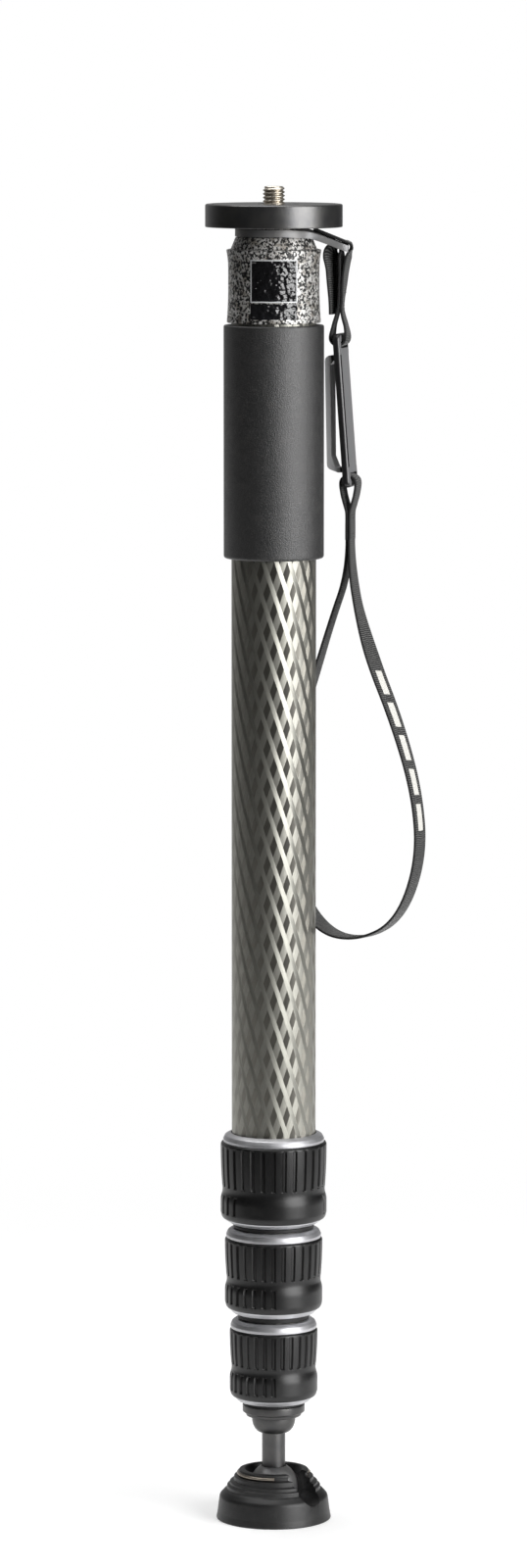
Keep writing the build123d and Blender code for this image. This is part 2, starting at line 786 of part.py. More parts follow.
def foot_outline():
    radii = [foot_radius] + [foot_radius * share for share in tier_radius_shares]
    heights = [0] + [foot_height * share for share in tier_height_shares]
    lip_low = foot_height - lip_height
    return [
        (0, 0), (radii[0], heights[0]), (radii[1], heights[1]), (radii[2], heights[2]),
        (radii[3], heights[3]), (radii[4], heights[3] + tier_edge / 2), (radii[4], heights[4]),
        (radii[5], heights[4] + tier_edge / 2), (radii[5], heights[5]), (radii[6], heights[5] + tier_edge),
        (radii[6], heights[6]), (neck_radius, heights[6] + wire_radius / 2), (neck_radius, lip_low),
        (lip_radius, lip_low), (lip_radius - tier_edge / 2, foot_height - tier_edge / 2),
        (lip_inner, foot_height), (lip_inner - lip_wall_lean, cup_top + glue_gap),
        (cup_opening + free_gap, cup_top + glue_gap), (cup_opening + free_gap, ball_height),
        (0, ball_height),
    ]


def foot_rubber():
    body = revolved(foot_outline())
    seat = Pos(0, 0, ball_height) * Sphere(ball_radius + ball_gap + cup_wall + glue_gap)
    floor = rod(foot_radius, ball_height - 2 * ball_radius, foot_floor)
    seat_top = rod(2 * foot_radius, cup_top + glue_gap, foot_height + overrun)
    body = body - (seat - floor - seat_top) - slot_cutter(foot_height)
    return around(slot_azimuth) * body


def foot_wire_ring():
    """An open ring of spring wire round the foot's neck, its gap over the slot."""
    level = foot_height - lip_height - wire_radius - glue_gap
    reach = neck_radius + glue_gap + wire_radius
    ring = Pos(0, 0, level) * Torus(reach, wire_radius)
    half_gap = radians(wire_gap_angle / 2)
    wedge = Polyline((0, 0), (foot_radius * 2, -2 * foot_radius * tan(half_gap)),
                     (foot_radius * 2, 2 * foot_radius * tan(half_gap)), close=True)
    gap = extrude(make_face(wedge), foot_height * 2)
    return around(slot_azimuth) * (ring - gap)


def main():
    os.makedirs("parts", exist_ok=True)
    save("camera_stud", threaded_stud())
    save("top_disc", platform())
    save("platform_screws", platform_screws())
    save("collar_casting", collar_casting())
    save("label_panel", label_panel())
    save("grip_sleeve", grip_sleeve())
    save("strap_ring", strap_ring())
    save("tether_strap", tether_strap())
    save("belt_clip", belt_clip())
    save("wrist_strap_neck", wrist_strap_neck())
    save("wrist_strap_loop", wrist_strap_loop())
    for number in range(1, section_count + 1):
        save(f"tube_{number}", section_tube(number))
        if number < section_count:
            save(f"ferrule_{number}", ferrule(number))
            save(f"collet_{number}", collet(number))
            save(f"lock_{number}_collar", lock_collar(number))
            save(f"lock_{number}_grip", lock_grip(number))
            save(f"lock_{number}_seal", lock_seal(number))
        if number > 1:
            save(f"guide_bush_{number}", guide_bush(number))
            save(f"bumper_{number}", bumper(number))
    save("bottom_plug", bottom_plug())
    save("foot_flange", foot_flange())
    save("foot_dome_nut", foot_dome_nut())
    save("foot_rod", foot_rod())
    save("ball_screw", ball_screw())
    save("foot_ball", foot_ball())
    save("socket_cup", socket_cup())
    save("foot_rubber", foot_rubber())
    save("foot_wire_ring", foot_wire_ring())
    print(len(written), "nodes written")


main()
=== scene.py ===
import bmesh
import bpy
import math
from mathutils import Matrix, Vector


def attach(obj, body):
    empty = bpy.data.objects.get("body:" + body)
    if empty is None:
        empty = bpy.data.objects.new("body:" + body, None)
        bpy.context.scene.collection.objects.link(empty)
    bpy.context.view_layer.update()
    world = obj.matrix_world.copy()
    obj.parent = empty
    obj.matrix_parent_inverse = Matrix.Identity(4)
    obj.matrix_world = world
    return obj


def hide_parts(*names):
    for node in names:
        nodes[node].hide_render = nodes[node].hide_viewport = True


# The monopod's looks: lathe-turned metal, moulded rubber, braided tube and woven strap.
# The scene is in metres, and the tables of shapes are in mm.
mm = 0.001
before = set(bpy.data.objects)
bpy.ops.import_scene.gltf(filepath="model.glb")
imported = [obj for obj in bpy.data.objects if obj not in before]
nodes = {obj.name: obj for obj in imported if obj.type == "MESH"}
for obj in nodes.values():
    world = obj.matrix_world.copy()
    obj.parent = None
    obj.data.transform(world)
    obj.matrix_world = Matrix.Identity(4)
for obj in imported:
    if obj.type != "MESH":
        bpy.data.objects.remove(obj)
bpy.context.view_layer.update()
print("frame loaded", len(nodes), "nodes")


def added(name, data):  # a new object, put in the scene
    made = bpy.data.objects.new(name, data)
    bpy.context.scene.collection.objects.link(made)
    return made


# Camera: a long lens well above the middle, looking slightly down
camera = {
    "lens": 146.25, "sensor": 36.0, "distance": 2.795, "pitch": 6.8, "aim": (-0.0045, 0.0, 0.3282),
}


def makeCamera():
    data = bpy.data.cameras.new("studioCamera")
    data.lens = camera["lens"]
    data.sensor_width = camera["sensor"]
    pitch = math.radians(camera["pitch"])
    away = Vector((0, -math.cos(pitch), math.sin(pitch)))
    eye = added("studioCamera", data)
    eye.location = Vector(camera["aim"]) + camera["distance"] * away
    eye.rotation_euler = (math.pi / 2 - pitch, 0, 0)
    bpy.context.scene.camera = eye


makeCamera()
print("camera placed")


# Shader maths: a wrapped socket whose operators add Math nodes
class Wire:
    def __init__(self, shader, socket):
        self.shader = shader
        self.socket = socket

    def maths(self, operation, *operands):
        return self.shader.node("ShaderNodeMath", {"operation": operation}, dict(enumerate(operands)))

    def __add__(self, other):
        return self.maths("ADD", self, other)

    def __radd__(self, other):
        return self.maths("ADD", other, self)

    def __sub__(self, other):
        return self.maths("SUBTRACT", self, other)

    def __rsub__(self, other):
        return self.maths("SUBTRACT", other, self)

    def __mul__(self, other):
        return self.maths("MULTIPLY", self, other)

    def __rmul__(self, other):
        return self.maths("MULTIPLY", other, self)

    def __truediv__(self, other):
        return self.maths("DIVIDE", self, other)

    def __gt__(self, other):
        return self.maths("GREATER_THAN", self, other)

    def __lt__(self, other):
        return self.maths("LESS_THAN", self, other)

    def wrapped(self):
        return self.maths("FRACT", self)

    def size(self):
        return self.maths("ABSOLUTE", self)

    def sine(self):
        return self.maths("SINE", self)

    def most(self, other):
        return self.maths("MAXIMUM", self, other)

    def step(self, low, high):  # 0 below low, 1 above high, smooth between
        return self.shader.node("ShaderNodeMapRange", {"interpolation_type": "SMOOTHSTEP"},
                                {"Value": self, "From Min": low, "From Max": high})


class Tree:  # a node tree whose sockets take wires or plain values
    def __init__(self, tree, surface):
        self.tree = tree
        self.surface = tree.nodes[surface]

    def node(self, kind, settings, inputs, output=0):
        made = self.tree.nodes.new(kind)
        for key, value in settings.items():
            setattr(made, key, value)
        for key, value in inputs.items():
            self.feed(made.inputs[key], value)
        return Wire(self, made.outputs[output])

    def vector(self, operation, inputs, output=0):
        return self.node("ShaderNodeVectorMath", {"operation": operation}, inputs, output)

    def feed(self, socket, value):
        if isinstance(value, Wire):
            self.tree.links.new(value.socket, socket)
        elif isinstance(value, tuple) and len(value) == 3 and socket.type == "RGBA":
            socket.default_value = (*value, 1)
        else:
            socket.default_value = value


class Shader(Tree):  # a material with its own noise, mixes and bumps
    def __init__(self, name):
        self.material = bpy.data.materials.new(name)
        self.material.use_nodes = True
        super().__init__(self.material.node_tree, "Principled BSDF")
        coordinates = self.tree.nodes.new("ShaderNodeTexCoord")
        self.place = Wire(self, coordinates.outputs["Object"])
        self.flat = Wire(self, coordinates.outputs["UV"])

    def axis(self, index, vector=None):
        return self.node("ShaderNodeSeparateXYZ", {}, {0: vector or self.place}, index)

    def around(self):  # turns about the part's own axis, 0 to 1, from the front
        return self.axis(0).maths("ARCTAN2", self.axis(0), -1 * self.axis(1)) / math.tau

    def stretched(self, scale):
        return self.vector("MULTIPLY", {0: self.place, 1: scale})

    def grain(self, size, detail=2.0, rough=0.5, vector=None):  # noise with cells of about size metres
        return self.node("ShaderNodeTexNoise", {}, {
            "Vector": vector or self.place, "Scale": 1 / size, "Detail": detail, "Roughness": rough})

    def mix(self, low, high, factor):
        return self.node("ShaderNodeMix", {"data_type": "RGBA"}, {0: factor, 6: low, 7: high}, 2)

    def bump(self, height, distance, strength=1.0):
        return self.node("ShaderNodeBump", {}, {"Height": height, "Distance": distance, "Strength": strength})

    def finish(self, **sockets):
        for name, value in sockets.items():
            self.feed(self.surface.inputs[socketNames[name]], value)
        return self.material


socketNames = {
    "colour": "Base Color", "rough": "Roughness", "metal": "Metallic", "normal": "Normal",
    "coat": "Coat Weight", "coatRough": "Coat Roughness", "shine": "Specular IOR Level",
    "sheen": "Sheen Weight", "sheenRough": "Sheen Roughness",
}


# Finishes. Sizes of grain are in metres.
def turnedMetal(name, colour, rough, metal=1.0):
    shader = Shader(name)
    turning = shader.grain(0.00012, 3, vector=shader.stretched((0.02, 0.02, 1)))
    smudge = shader.grain(0.006, 3)
    return shader.finish(
        colour=shader.mix(tuple(0.86 * part for part in colour), colour, smudge.step(0.3, 0.7)), metal=metal,
        rough=rough + 0.08 * (smudge - 0.5) + 0.05 * (turning - 0.5), normal=shader.bump(turning, 0.000004))


def satinBlack(name, tone, rough, metal=0.85):
    shader = Shader(name)
    speck = shader.grain(0.00035, 4, 0.6)
    cloud = shader.grain(0.008, 3)
    return shader.finish(
        colour=shader.mix((tone, tone, 1.03 * tone), (1.35 * tone, 1.33 * tone, 1.3 * tone), cloud.step(0.3, 0.7)),
        metal=metal, rough=rough + 0.1 * (speck - 0.5) + 0.06 * (cloud - 0.5),
        normal=shader.bump(speck, 0.00002, 0.6))


def rubber(name, tone, rough, grainSize, depth, shine=0.5, glintSpeckle=0.0):
    shader = Shader(name)
    fine = shader.grain(grainSize, 3, 0.6)
    dust = shader.grain(0.004, 4, 0.6)
    pale = shader.mix((tone, tone, 1.02 * tone), (1.7 * tone, 1.66 * tone, 1.62 * tone), dust.step(0.45, 0.75))
    # Pale specks where the fine grain is high: painted glints of the grain
    colour = shader.mix(pale, (3.2 * tone, 3.1 * tone, 3 * tone), glintSpeckle * fine.step(0.52, 0.7))
    return shader.finish(colour=colour, rough=rough + 0.12 * (fine - 0.5), shine=shine,
                         normal=shader.bump(fine, depth, 0.8))


# The braid: pale ribbons run down to the right over greyer bands that run down to the left.
# Each family of fibres throws the light its own way, so its normals lean to one side.
braid = {
    "starts": 20, "slope": 0.34, "ribbon": 0.38, "band": 0.5, "edge": 0.02,
    "ribbonLean": 0.18, "bandLean": -0.38, "groundLean": -0.03, "streakLean": 0.03,
    "ribbonRough": 0.4, "rough": 0.47, "metal": 0.94, "coat": 0.12, "coatRough": 0.3,
    "pale": (0.38, 0.375, 0.335), "grey": (0.26, 0.25, 0.22), "dark": (0.09, 0.085, 0.075), "darkShare": 0.22,
    "fibre": 0.0004, "fibreStretch": 0.03,
}


def carbonBraid(name, radius):
    shader = Shader(name)
    turns = shader.around()
    rise = shader.axis(2) * (braid["slope"] / (math.tau * radius))
    right = ((turns + rise) * braid["starts"]).wrapped()
    left = ((turns - rise) * braid["starts"]).wrapped()
    edge = braid["edge"]
    ribbon = (braid["ribbon"] - right).step(-edge, edge) * right.step(0, 2 * edge)
    band = (braid["band"] - left).step(-edge, edge) * left.step(0, 2 * edge) * (1 - ribbon)
    fibreRight = shader.grain(braid["fibre"], 2, vector=helixSpace(shader, turns, rise, radius, 1))
    fibreLeft = shader.grain(braid["fibre"], 2, vector=helixSpace(shader, turns, rise, radius, -1))
    streak = fibreLeft * (1 - ribbon) + fibreRight * ribbon
    colour = shader.mix(shader.mix(braid["pale"], braid["grey"], band), braid["pale"], ribbon)
    colour = shader.mix(colour, braid["dark"], braid["darkShare"] * streak.step(0.35, 0.75))
    ground = braid["groundLean"]
    lean = (ribbon * (braid["ribbonLean"] - ground) + band * (braid["bandLean"] - ground) + ground
            + braid["streakLean"] * (streak - 0.5))
    side = shader.node("ShaderNodeCombineXYZ", {}, {0: -1 * shader.axis(1), 1: shader.axis(0), 2: 0.0})
    push = shader.vector("SCALE", {0: side, 3: lean / radius})
    normal = shader.node("ShaderNodeNewGeometry", {}, {}, 1)
    leaned = shader.vector("NORMALIZE", {0: shader.vector("ADD", {0: normal, 1: push})})
    rough = braid["rough"] + (braid["ribbonRough"] - braid["rough"]) * ribbon
    return shader.finish(colour=colour, metal=braid["metal"], rough=rough, normal=leaned,
                         coat=braid["coat"], coatRough=braid["coatRough"])


def helixSpace(shader, turns, rise, radius, hand):  # long cells that follow one family of fibres
    across = (turns + hand * rise) * (math.tau * radius)
    along = shader.axis(2) * braid["fibreStretch"]
    return shader.node("ShaderNodeCombineXYZ", {}, {0: across, 1: along, 2: float(hand)})


hammer = {
    "cell": 0.0012, "warp": 900.0, "bend": 0.0007, "depth": 0.00009,
    "dark": (0.008, 0.0075, 0.007), "warm": (0.36, 0.33, 0.29), "bright": (0.78, 0.77, 0.75),
}


def hammeredPaint(name):
    shader = Shader(name)
    warp = shader.node("ShaderNodeTexNoise", {}, {"Vector": shader.place, "Scale": hammer["warp"], "Detail": 1.0}, 1)
    bent = shader.vector("MULTIPLY_ADD", {0: warp, 1: (hammer["bend"],) * 3, 2: shader.place})
    worms = shader.grain(hammer["cell"], 2.5, 0.6, vector=bent)
    fleck = worms.step(0.475, 0.525)
    tone = shader.grain(0.004, 2)
    silver = shader.mix(hammer["warm"], hammer["bright"], (tone + 0.5 * shader.grain(0.0007)).step(0.55, 0.85))
    return shader.finish(colour=shader.mix(hammer["dark"], silver, fleck), metal=0.35 * fleck,
                         rough=0.5 - 0.16 * fleck, coat=0.25, coatRough=0.15,
                         normal=shader.bump(worms.step(0.35, 0.65), hammer["depth"], 0.8))


# The belt clip: black, with painted reflections: a greyer outer face and a paler tongue below a slanting edge
clipLook = {
    "outward": (math.sin(math.radians(75)), -math.cos(math.radians(75)), 0),
    # grey is the outer face's painted reflection, pale the tongue's painted reflection; the clip's own colour is black
    "black": (0.012, 0.012, 0.013), "grey": (0.19, 0.19, 0.195), "pale": (0.5, 0.5, 0.505),
    "tongueSlant": 0.0813, "tongueSide": 0.0668, "tongueTop": 0.516,
}


def clipPlastic(name):
    shader = Shader(name)
    fine = shader.grain(0.0006, 3, 0.6)
    outward = Wire(shader, shader.place.socket.node.outputs["Normal"])
    facing = shader.vector("DOT_PRODUCT", {0: outward, 1: clipLook["outward"]}, 1)
    # Faces turned to the outer side get a painted reflection: grey in place of black
    colour = shader.mix(clipLook["black"], clipLook["grey"], facing.step(0.75, 0.95))
    # The tongue's pale colour is a painted reflection on the black plastic
    slanted = shader.axis(0) + clipLook["tongueSlant"] * shader.axis(2)
    tongue = (slanted < clipLook["tongueSide"]) * (shader.axis(2) < clipLook["tongueTop"])
    return shader.finish(colour=shader.mix(colour, clipLook["pale"], tongue), rough=0.36 + 0.1 * (fine - 0.5),
                         shine=0.9, normal=shader.bump(fine, 0.00001, 0.8))


def glossPatch(name, tone):
    shader = Shader(name)
    ripple = shader.grain(0.0032, 1.5, 0.5, vector=shader.stretched((1, 1, 1.3)))
    return shader.finish(colour=(tone, tone, 1.15 * tone), rough=0.2, shine=0.9,
                         normal=shader.bump(ripple, 0.0016, 1.0))


def plainFinish(name, colour, rough):
    shader = Shader(name)
    cloud = shader.grain(0.002, 3)
    return shader.finish(colour=shader.mix(tuple(0.85 * part for part in colour), colour, cloud),
                         rough=rough + 0.08 * (cloud - 0.5))


# The woven cloth, in metres: ribs across it that fade at its edges, and pale dashes down one arm of the loop
weave = {
    "dark": (0.005, 0.005, 0.0055), "rib": (0.17, 0.17, 0.165), "pitch": 0.00095, "twill": 0.0011,
    "width": 0.01, "edge": (0.0001, 0.0007),
}
dash = {"from": 0.0029, "to": 0.0071, "start": 0.06, "length": 0.0115, "every": 0.0155, "tone": (0.66, 0.65, 0.61)}


def webbingCloth(name, dashes=0, rib=weave["rib"], sheen=0.25):
    shader = Shader(name)
    along = shader.axis(1, shader.flat)
    across = shader.axis(0, shader.flat)
    row = (along * (1 / weave["pitch"]) + 0.25 * (across * (1 / weave["twill"])).sine()).wrapped()
    crown = 1 - (2 * row - 1).size()
    fuzz = shader.grain(0.0003, 3, 0.6)
    selvedge = across.step(*weave["edge"]) * (weave["width"] - across).step(*weave["edge"])
    colour = shader.mix(weave["dark"], rib, crown.step(0.45, 0.85) * fuzz.step(0.3, 0.62) * selvedge)
    for number in range(dashes):
        start = dash["start"] + dash["every"] * number
        block = (along > start) * (along < start + dash["length"]) * (across > dash["from"]) * (across < dash["to"])
        colour = shader.mix(colour, dash["tone"], block)
        crown = crown * (1 - 0.85 * block)
    return shader.finish(colour=colour, rough=0.78, sheen=sheen, sheenRough=0.4,
                         normal=shader.bump(crown + 0.4 * fuzz, 0.00012, 0.8))


finishes = {
    "stud": turnedMetal("studSteel", (0.66, 0.61, 0.53), 0.4),
    "disc": satinBlack("platformBlack", 0.1, 0.34),
    "blackMetal": satinBlack("footBlack", 0.07, 0.36),
    "rod": satinBlack("rodBlack", 0.085, 0.36, 1.0),
    "ball": satinBlack("ballGrey", 0.2, 0.42, 0.75),
    "cast": hammeredPaint("hammeredPaint"),
    "label": glossPatch("labelGloss", 0.006),
    "border": plainFinish("labelBorder", (0.82, 0.83, 0.84), 0.35),
    "patch": glossPatch("patchGloss", 0.008),
    # the grip's pale specks are painted glints
    "grip": rubber("gripFoam", 0.022, 0.43, 0.0005, 0.0003, 1.0, 0.7),
    "ring": satinBlack("ringGrey", 0.2, 0.42, 0.35),
    "webbing": webbingCloth("webbing"),
    "loop": webbingCloth("loopWebbing", 5),
    # The cover is black webbing, its ribs darkened further as painted shade from the disc above it
    "cover": webbingCloth("coverWebbing", rib=(0.05, 0.05, 0.05), sheen=0.0),
    "thread": rubber("stitchThread", 0.012, 0.5, 0.0003, 0.00001),
    "clip": clipPlastic("clipPlastic"),
    "aluminium": turnedMetal("satinAluminium", (0.62, 0.62, 0.64), 0.44, 0.85),
    "lock": rubber("lockRubber", 0.006, 0.36, 0.0004, 0.00002),
    "seal": rubber("sealRubber", 0.008, 0.6, 0.0004, 0.00002),
    "foot": rubber("footRubber", 0.009, 0.42, 0.0006, 0.00005),
    "wire": turnedMetal("springWire", (0.36, 0.32, 0.27), 0.3),
    "plastic": plainFinish("bushPlastic", (0.03, 0.03, 0.03), 0.45),
    "bare": turnedMetal("bareAluminium", (0.7, 0.7, 0.71), 0.35),
    "steel": turnedMetal("screwSteel", (0.2, 0.2, 0.205), 0.3),
}
print("finishes made")


# Making pieces: every one gets a finish, smooth faces with real edges, a body to ride and what it stands for
def place(mesh, name, finish, body, stands=(), sharp=35):
    mesh.name = name
    mesh.polygons.foreach_set("use_smooth", [True] * len(mesh.polygons))
    mesh.set_sharp_from_angle(angle=math.radians(sharp))
    mesh.materials.clear()
    mesh.materials.append(finishes[finish])
    piece = added(name, mesh)
    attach(piece, body)
    if stands:
        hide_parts(*stands)
    return piece


def rounded(outline):  # (radius, height, corner radius) in mm to plain points in metres
    points = []
    steps = 6
    for index, (radius, height, corner) in enumerate(outline):
        here = Vector((radius, height))
        if not corner:
            points.append(here * mm)
            continue
        back = Vector(outline[index - 1][:2]) - here
        ahead = Vector(outline[(index + 1) % len(outline)][:2]) - here
        half = back.angle(ahead) / 2
        reach = min(corner / math.tan(half), 0.49 * back.length, 0.49 * ahead.length)
        start, end = here + reach * back.normalized(), here + reach * ahead.normalized()
        for step in range(steps + 1):
            share = step / steps
            points.append(((1 - share) ** 2 * start + 2 * share * (1 - share) * here + share ** 2 * end) * mm)
    return points


def lathe(outline, turns=192):  # a closed outline turned about the part's axis
    points = rounded(outline)
    rings = bmesh.new()
    columns = []
    for turn in range(turns):
        angle = math.tau * turn / turns
        columns.append([rings.verts.new((point.x * math.sin(angle), -point.x * math.cos(angle), point.y))
                        for point in points])
    for turn in range(turns):
        here, beside = columns[turn], columns[(turn + 1) % turns]
        for row in range(len(points)):
            up = (row + 1) % len(points)
            rings.faces.new((here[row], here[up], beside[up], beside[row]))
    return sealed(rings)


def sealed(rings):  # doubles joined and every face turned outward
    bmesh.ops.remove_doubles(rings, verts=rings.verts, dist=1e-7)
    bmesh.ops.dissolve_degenerate(rings, edges=rings.edges, dist=1e-8)
    bmesh.ops.recalc_face_normals(rings, faces=rings.faces)
    mesh = bpy.data.meshes.new("turned")
    rings.to_mesh(mesh)
    rings.free()
    return mesh


def blockMesh(size, centre, turn=None):  # a cutter: size and centre in mm
    block = bmesh.new()
    bmesh.ops.create_cube(block, size=1)
    matrix = Matrix.Translation(Vector(centre) * mm) @ Matrix.Diagonal((*(Vector(size) * mm), 1))
    if turn:
        matrix = turn @ matrix
    bmesh.ops.transform(block, matrix=matrix, verts=block.verts)
    return sealed(block)


def rodMesh(radius, low, high, turn=None, turns=96):  # a round cutter, in mm
    rod = bmesh.new()
    bmesh.ops.create_cone(rod, cap_ends=True, segments=turns, radius1=radius * mm, radius2=radius * mm,
                          depth=(high - low) * mm)
    bmesh.ops.translate(rod, vec=(0, 0, (high + low) / 2 * mm), verts=rod.verts)
    if turn:
        bmesh.ops.transform(rod, matrix=turn, verts=rod.verts)
    return sealed(rod)


def settled(holder):  # an object's final mesh; the object itself goes
    bpy.context.view_layer.update()
    mesh = bpy.data.meshes.new_from_object(holder.evaluated_get(bpy.context.evaluated_depsgraph_get()))
    bpy.data.objects.remove(holder)
    return mesh


def combined(mesh, *cutters, bevel=0.0):  # the mesh less its cutters, its edges softened by a bevel in mm
    body = added("blank", mesh)
    tools = [added("cutter", cutter) for cutter in cutters]
    for tool in tools:
        cut = body.modifiers.new("cut", "BOOLEAN")
        cut.operation = "DIFFERENCE"
        cut.solver = "EXACT"
        cut.object = tool
    if bevel:
        soften = body.modifiers.new("soften", "BEVEL")
        soften.width = bevel * mm
        soften.segments = 3
        soften.limit_method = "ANGLE"
        soften.angle_limit = math.radians(40)
    made = settled(body)
    for tool in tools:
        bpy.data.objects.remove(tool)
    return made


def lineMesh(points, steps=12, thick=0.0):  # a smooth line through points in metres, or a round wire along it
    line = bpy.data.curves.new("line", "CURVE")
    line.dimensions = "3D"
    line.resolution_u = steps
    line.bevel_depth = thick
    line.bevel_resolution = 6
    line.use_fill_caps = True
    spline = line.splines.new("NURBS")
    spline.points.add(len(points) - 1)
    for point, position in zip(spline.points, points):
        point.co = (*position, 1)
    spline.order_u = 3
    spline.use_endpoint_u = True
    return settled(added("line", line))


def polar(radius, angle, level):  # mm, and an angle from the front, to a point in metres
    return (radius * math.sin(angle) * mm, -radius * math.cos(angle) * mm, level * mm)


def clamped(value):  # held between 0 and 1
    return max(0, min(1, value))


def gridMesh(rows, columns, spot, closed=False, uv=None, capped=True):  # spot(row, column) gives a point in metres
    sheet = bmesh.new()
    points = [[sheet.verts.new(spot(row, column)) for column in range(columns)] for row in range(rows)]
    layer = sheet.loops.layers.uv.new("UVMap")
    for row in range(rows - 1):
        for column in range(columns if closed else columns - 1):
            beside = (column + 1) % columns
            face = sheet.faces.new((points[row][column], points[row][beside],
                                    points[row + 1][beside], points[row + 1][column]))
            if uv:
                corners = ((row, column), (row, column + 1), (row + 1, column + 1), (row + 1, column))
                for loop, corner in zip(face.loops, corners):
                    loop[layer].uv = uv(*corner)
    bmesh.ops.recalc_face_normals(sheet, faces=sheet.faces)
    if capped:
        bmesh.ops.holes_fill(sheet, edges=sheet.edges, sides=0)
    return sealed(sheet)


# Webbing: the wrist loop is one free strap, and its neck and the tether are sewn double.
# Sizes in mm, but the loop's own length in metres.
webbing = {"width": 10.0, "thick": 1.3, "curl": 0.06, "flatPower": 0.3, "deepPower": 0.55, "eyeCorner": (0.72, 0.7)}
wristLoop = {
    "bar": (33.406, -1.234), "turn": 50.0, "rise": 0.079, "length": 0.4216,
    "route": [
        (0.72, 436.0), (0.72, 419.0), (12.6, 388.0), (31.5, 357.5), (44.6, 328.0), (47.6, 300.0),
        (34.0, 272.0), (8.5, 260.0), (-18.0, 260.8), (-38.5, 280.0), (-46.0, 311.0),
        (-38.6, 343.0), (-25.2, 370.0), (-12.4, 399.0), (-0.72, 422.0), (-0.72, 436.0),
    ],
    "facing": ((0, 15), (0.05, 20), (0.12, 36), (0.28, 28), (0.40, 27), (0.5, 40), (0.62, 44), (0.75, 23),
               (0.9, 16), (1, 15)),
}
neck = {
    "barHeight": 460.579, "turn": 15.0, "eye": 3.42, "stitches": (13.8, 15.2, 22.1, 23.5),
    "side": ((0.66, -24.5), (0.66, -19.5), (0.68, -13.0), (1.5, -9.6), (2.75, -5.0)),
}
stitch = {"every": 1.5, "reach": 4.1, "aside": 1.28, "half": (0.16, 0.5, 0.16), "rows": 1.3}
tether = {
    "pivot": (31.419, 0.0, 563.218), "lean": 3.82, "span": 39.306, "topEye": 2.3, "lowEye": 3.42,
    "facing": ((0, 3), (0.12, 15), (0.35, 13), (0.62, 6), (0.85, 9), (1, 14)),
    "shift": ((0, 0.0), (0.16, -0.3), (0.7, -0.6), (1, 0.0)),
    "side": ((1.75, 3.2), (1.2, 7.0), (0.85, 11.0), (0.72, 14.5), (0.66, 18.5), (0.66, 23.0), (0.68, 26.5),
             (1.3, 29.6), (2.7, 34.6)),
    "stitches": {"High": 11.0, "Middle": 18.5, "Low": 25.5},
}


def sideways(degrees):  # unit vectors across and along a strap's width, turned from the part's right
    turn = math.radians(degrees)
    return Vector((math.cos(turn), -math.sin(turn), 0)), Vector((math.sin(turn), math.cos(turn), 0))


def between(table, share):  # a smooth value from a table of (share, value)
    for (low, start), (high, end) in zip(table, table[1:]):
        if share <= high:
            ease = (share - low) / (high - low)
            return start + (end - start) * ease * ease * (3 - 2 * ease)
    return table[-1][1]


def lyingAlong(facing, count):  # which way a strap's width lies at each of count places
    return [sideways(between(facing, step / (count - 1)))[1] for step in range(count)]


def bulged(value, power):  # a cosine or sine made squarer, with its sign kept
    return math.copysign(abs(value) ** power, value)


def ribbonMesh(path, widths, width, thick, closed=False, curl=0.0):  # webbing along a path; width and thick in mm
    columns = 40
    width, thick = width * mm, thick * mm
    section = []
    for column in range(columns):
        angle = math.tau * column / columns
        flat = bulged(math.cos(angle), webbing["flatPower"])
        deep = bulged(math.sin(angle), webbing["deepPower"])
        section.append((flat * width / 2, deep * thick / 2 + curl * mm * (flat ** 2 - 0.4)))
    distances = [0.0]
    for before, here in zip(path, path[1:]):
        distances.append(distances[-1] + (here - before).length)
    count = len(path)

    def spot(row, column):
        row = row % count
        if closed:
            ahead, back = path[(row + 1) % count], path[row - 1]
        else:
            ahead, back = path[min(row + 1, count - 1)], path[max(row - 1, 0)]
        along = (ahead - back).normalized()
        wide = widths[row] if isinstance(widths, list) else widths
        wide = (wide - along * wide.dot(along)).normalized()
        flat, deep = section[column]
        return path[row] + flat * wide + deep * along.cross(wide)

    def uv(row, column):
        run = distances[row] if row < count else distances[-1] + (path[0] - path[-1]).length
        return (section[column % columns][0] + width / 2, run)

    return gridMesh(count + 1 if closed else count, columns, spot, True, uv, capped=not closed)


def smoothLine(points, steps=7):  # a smooth line through given points
    line = []
    last = len(points) - 1
    for index in range(last):
        a, b, c, d = (points[max(0, min(last, index + shift))] for shift in (-1, 0, 1, 2))
        for step in range(steps):
            t = step / steps
            line.append(0.5 * ((2 * b) + (c - a) * t + (2 * a - 5 * b + 4 * c - d) * t ** 2
                               + (3 * b - a - 3 * c + d) * t ** 3))
    line.append(points[last])
    return line


def makeLoop():
    across = sideways(wristLoop["turn"])[0]
    points = []
    for reach, height in wristLoop["route"]:
        spot = Vector((*wristLoop["bar"], height + wristLoop["rise"])) + reach * across
        points.append(spot * mm)
    path = [vertex.co.copy() for vertex in lineMesh(points, 20).vertices]
    lying = lyingAlong(wristLoop["facing"], len(path))
    mesh = ribbonMesh(path, lying, webbing["width"], webbing["thick"], curl=webbing["curl"])
    piece = place(mesh, "wristLoop", "loop", "wrist_strap", ["wrist_strap_loop"])
    return piece, path


def stitchRows(name, origin, across, wide, levels, body):  # rows of short sunk threads on both faces
    threads = bmesh.new()
    reach = stitch["reach"]
    count = round(2 * reach / stitch["every"])
    size = Matrix.Diagonal((*(part * mm for part in stitch["half"]), 1))
    turn = Matrix((across, wide, Vector((0, 0, 1)))).transposed().to_4x4()
    for level in levels:
        for step in range(count):
            middle = 2 * reach * (step + 0.5) / count - reach
            for side in (-1, 1):
                spot = Vector(origin) * mm + wide * middle * mm + Vector((0, 0, level * mm))
                spot += across * side * stitch["aside"] * mm
                made = bmesh.ops.create_uvsphere(threads, u_segments=10, v_segments=6, radius=1)
                bmesh.ops.transform(threads, matrix=Matrix.Translation(spot) @ turn @ size, verts=made["verts"])
    place(sealed(threads), name, "thread", body, (), 60)


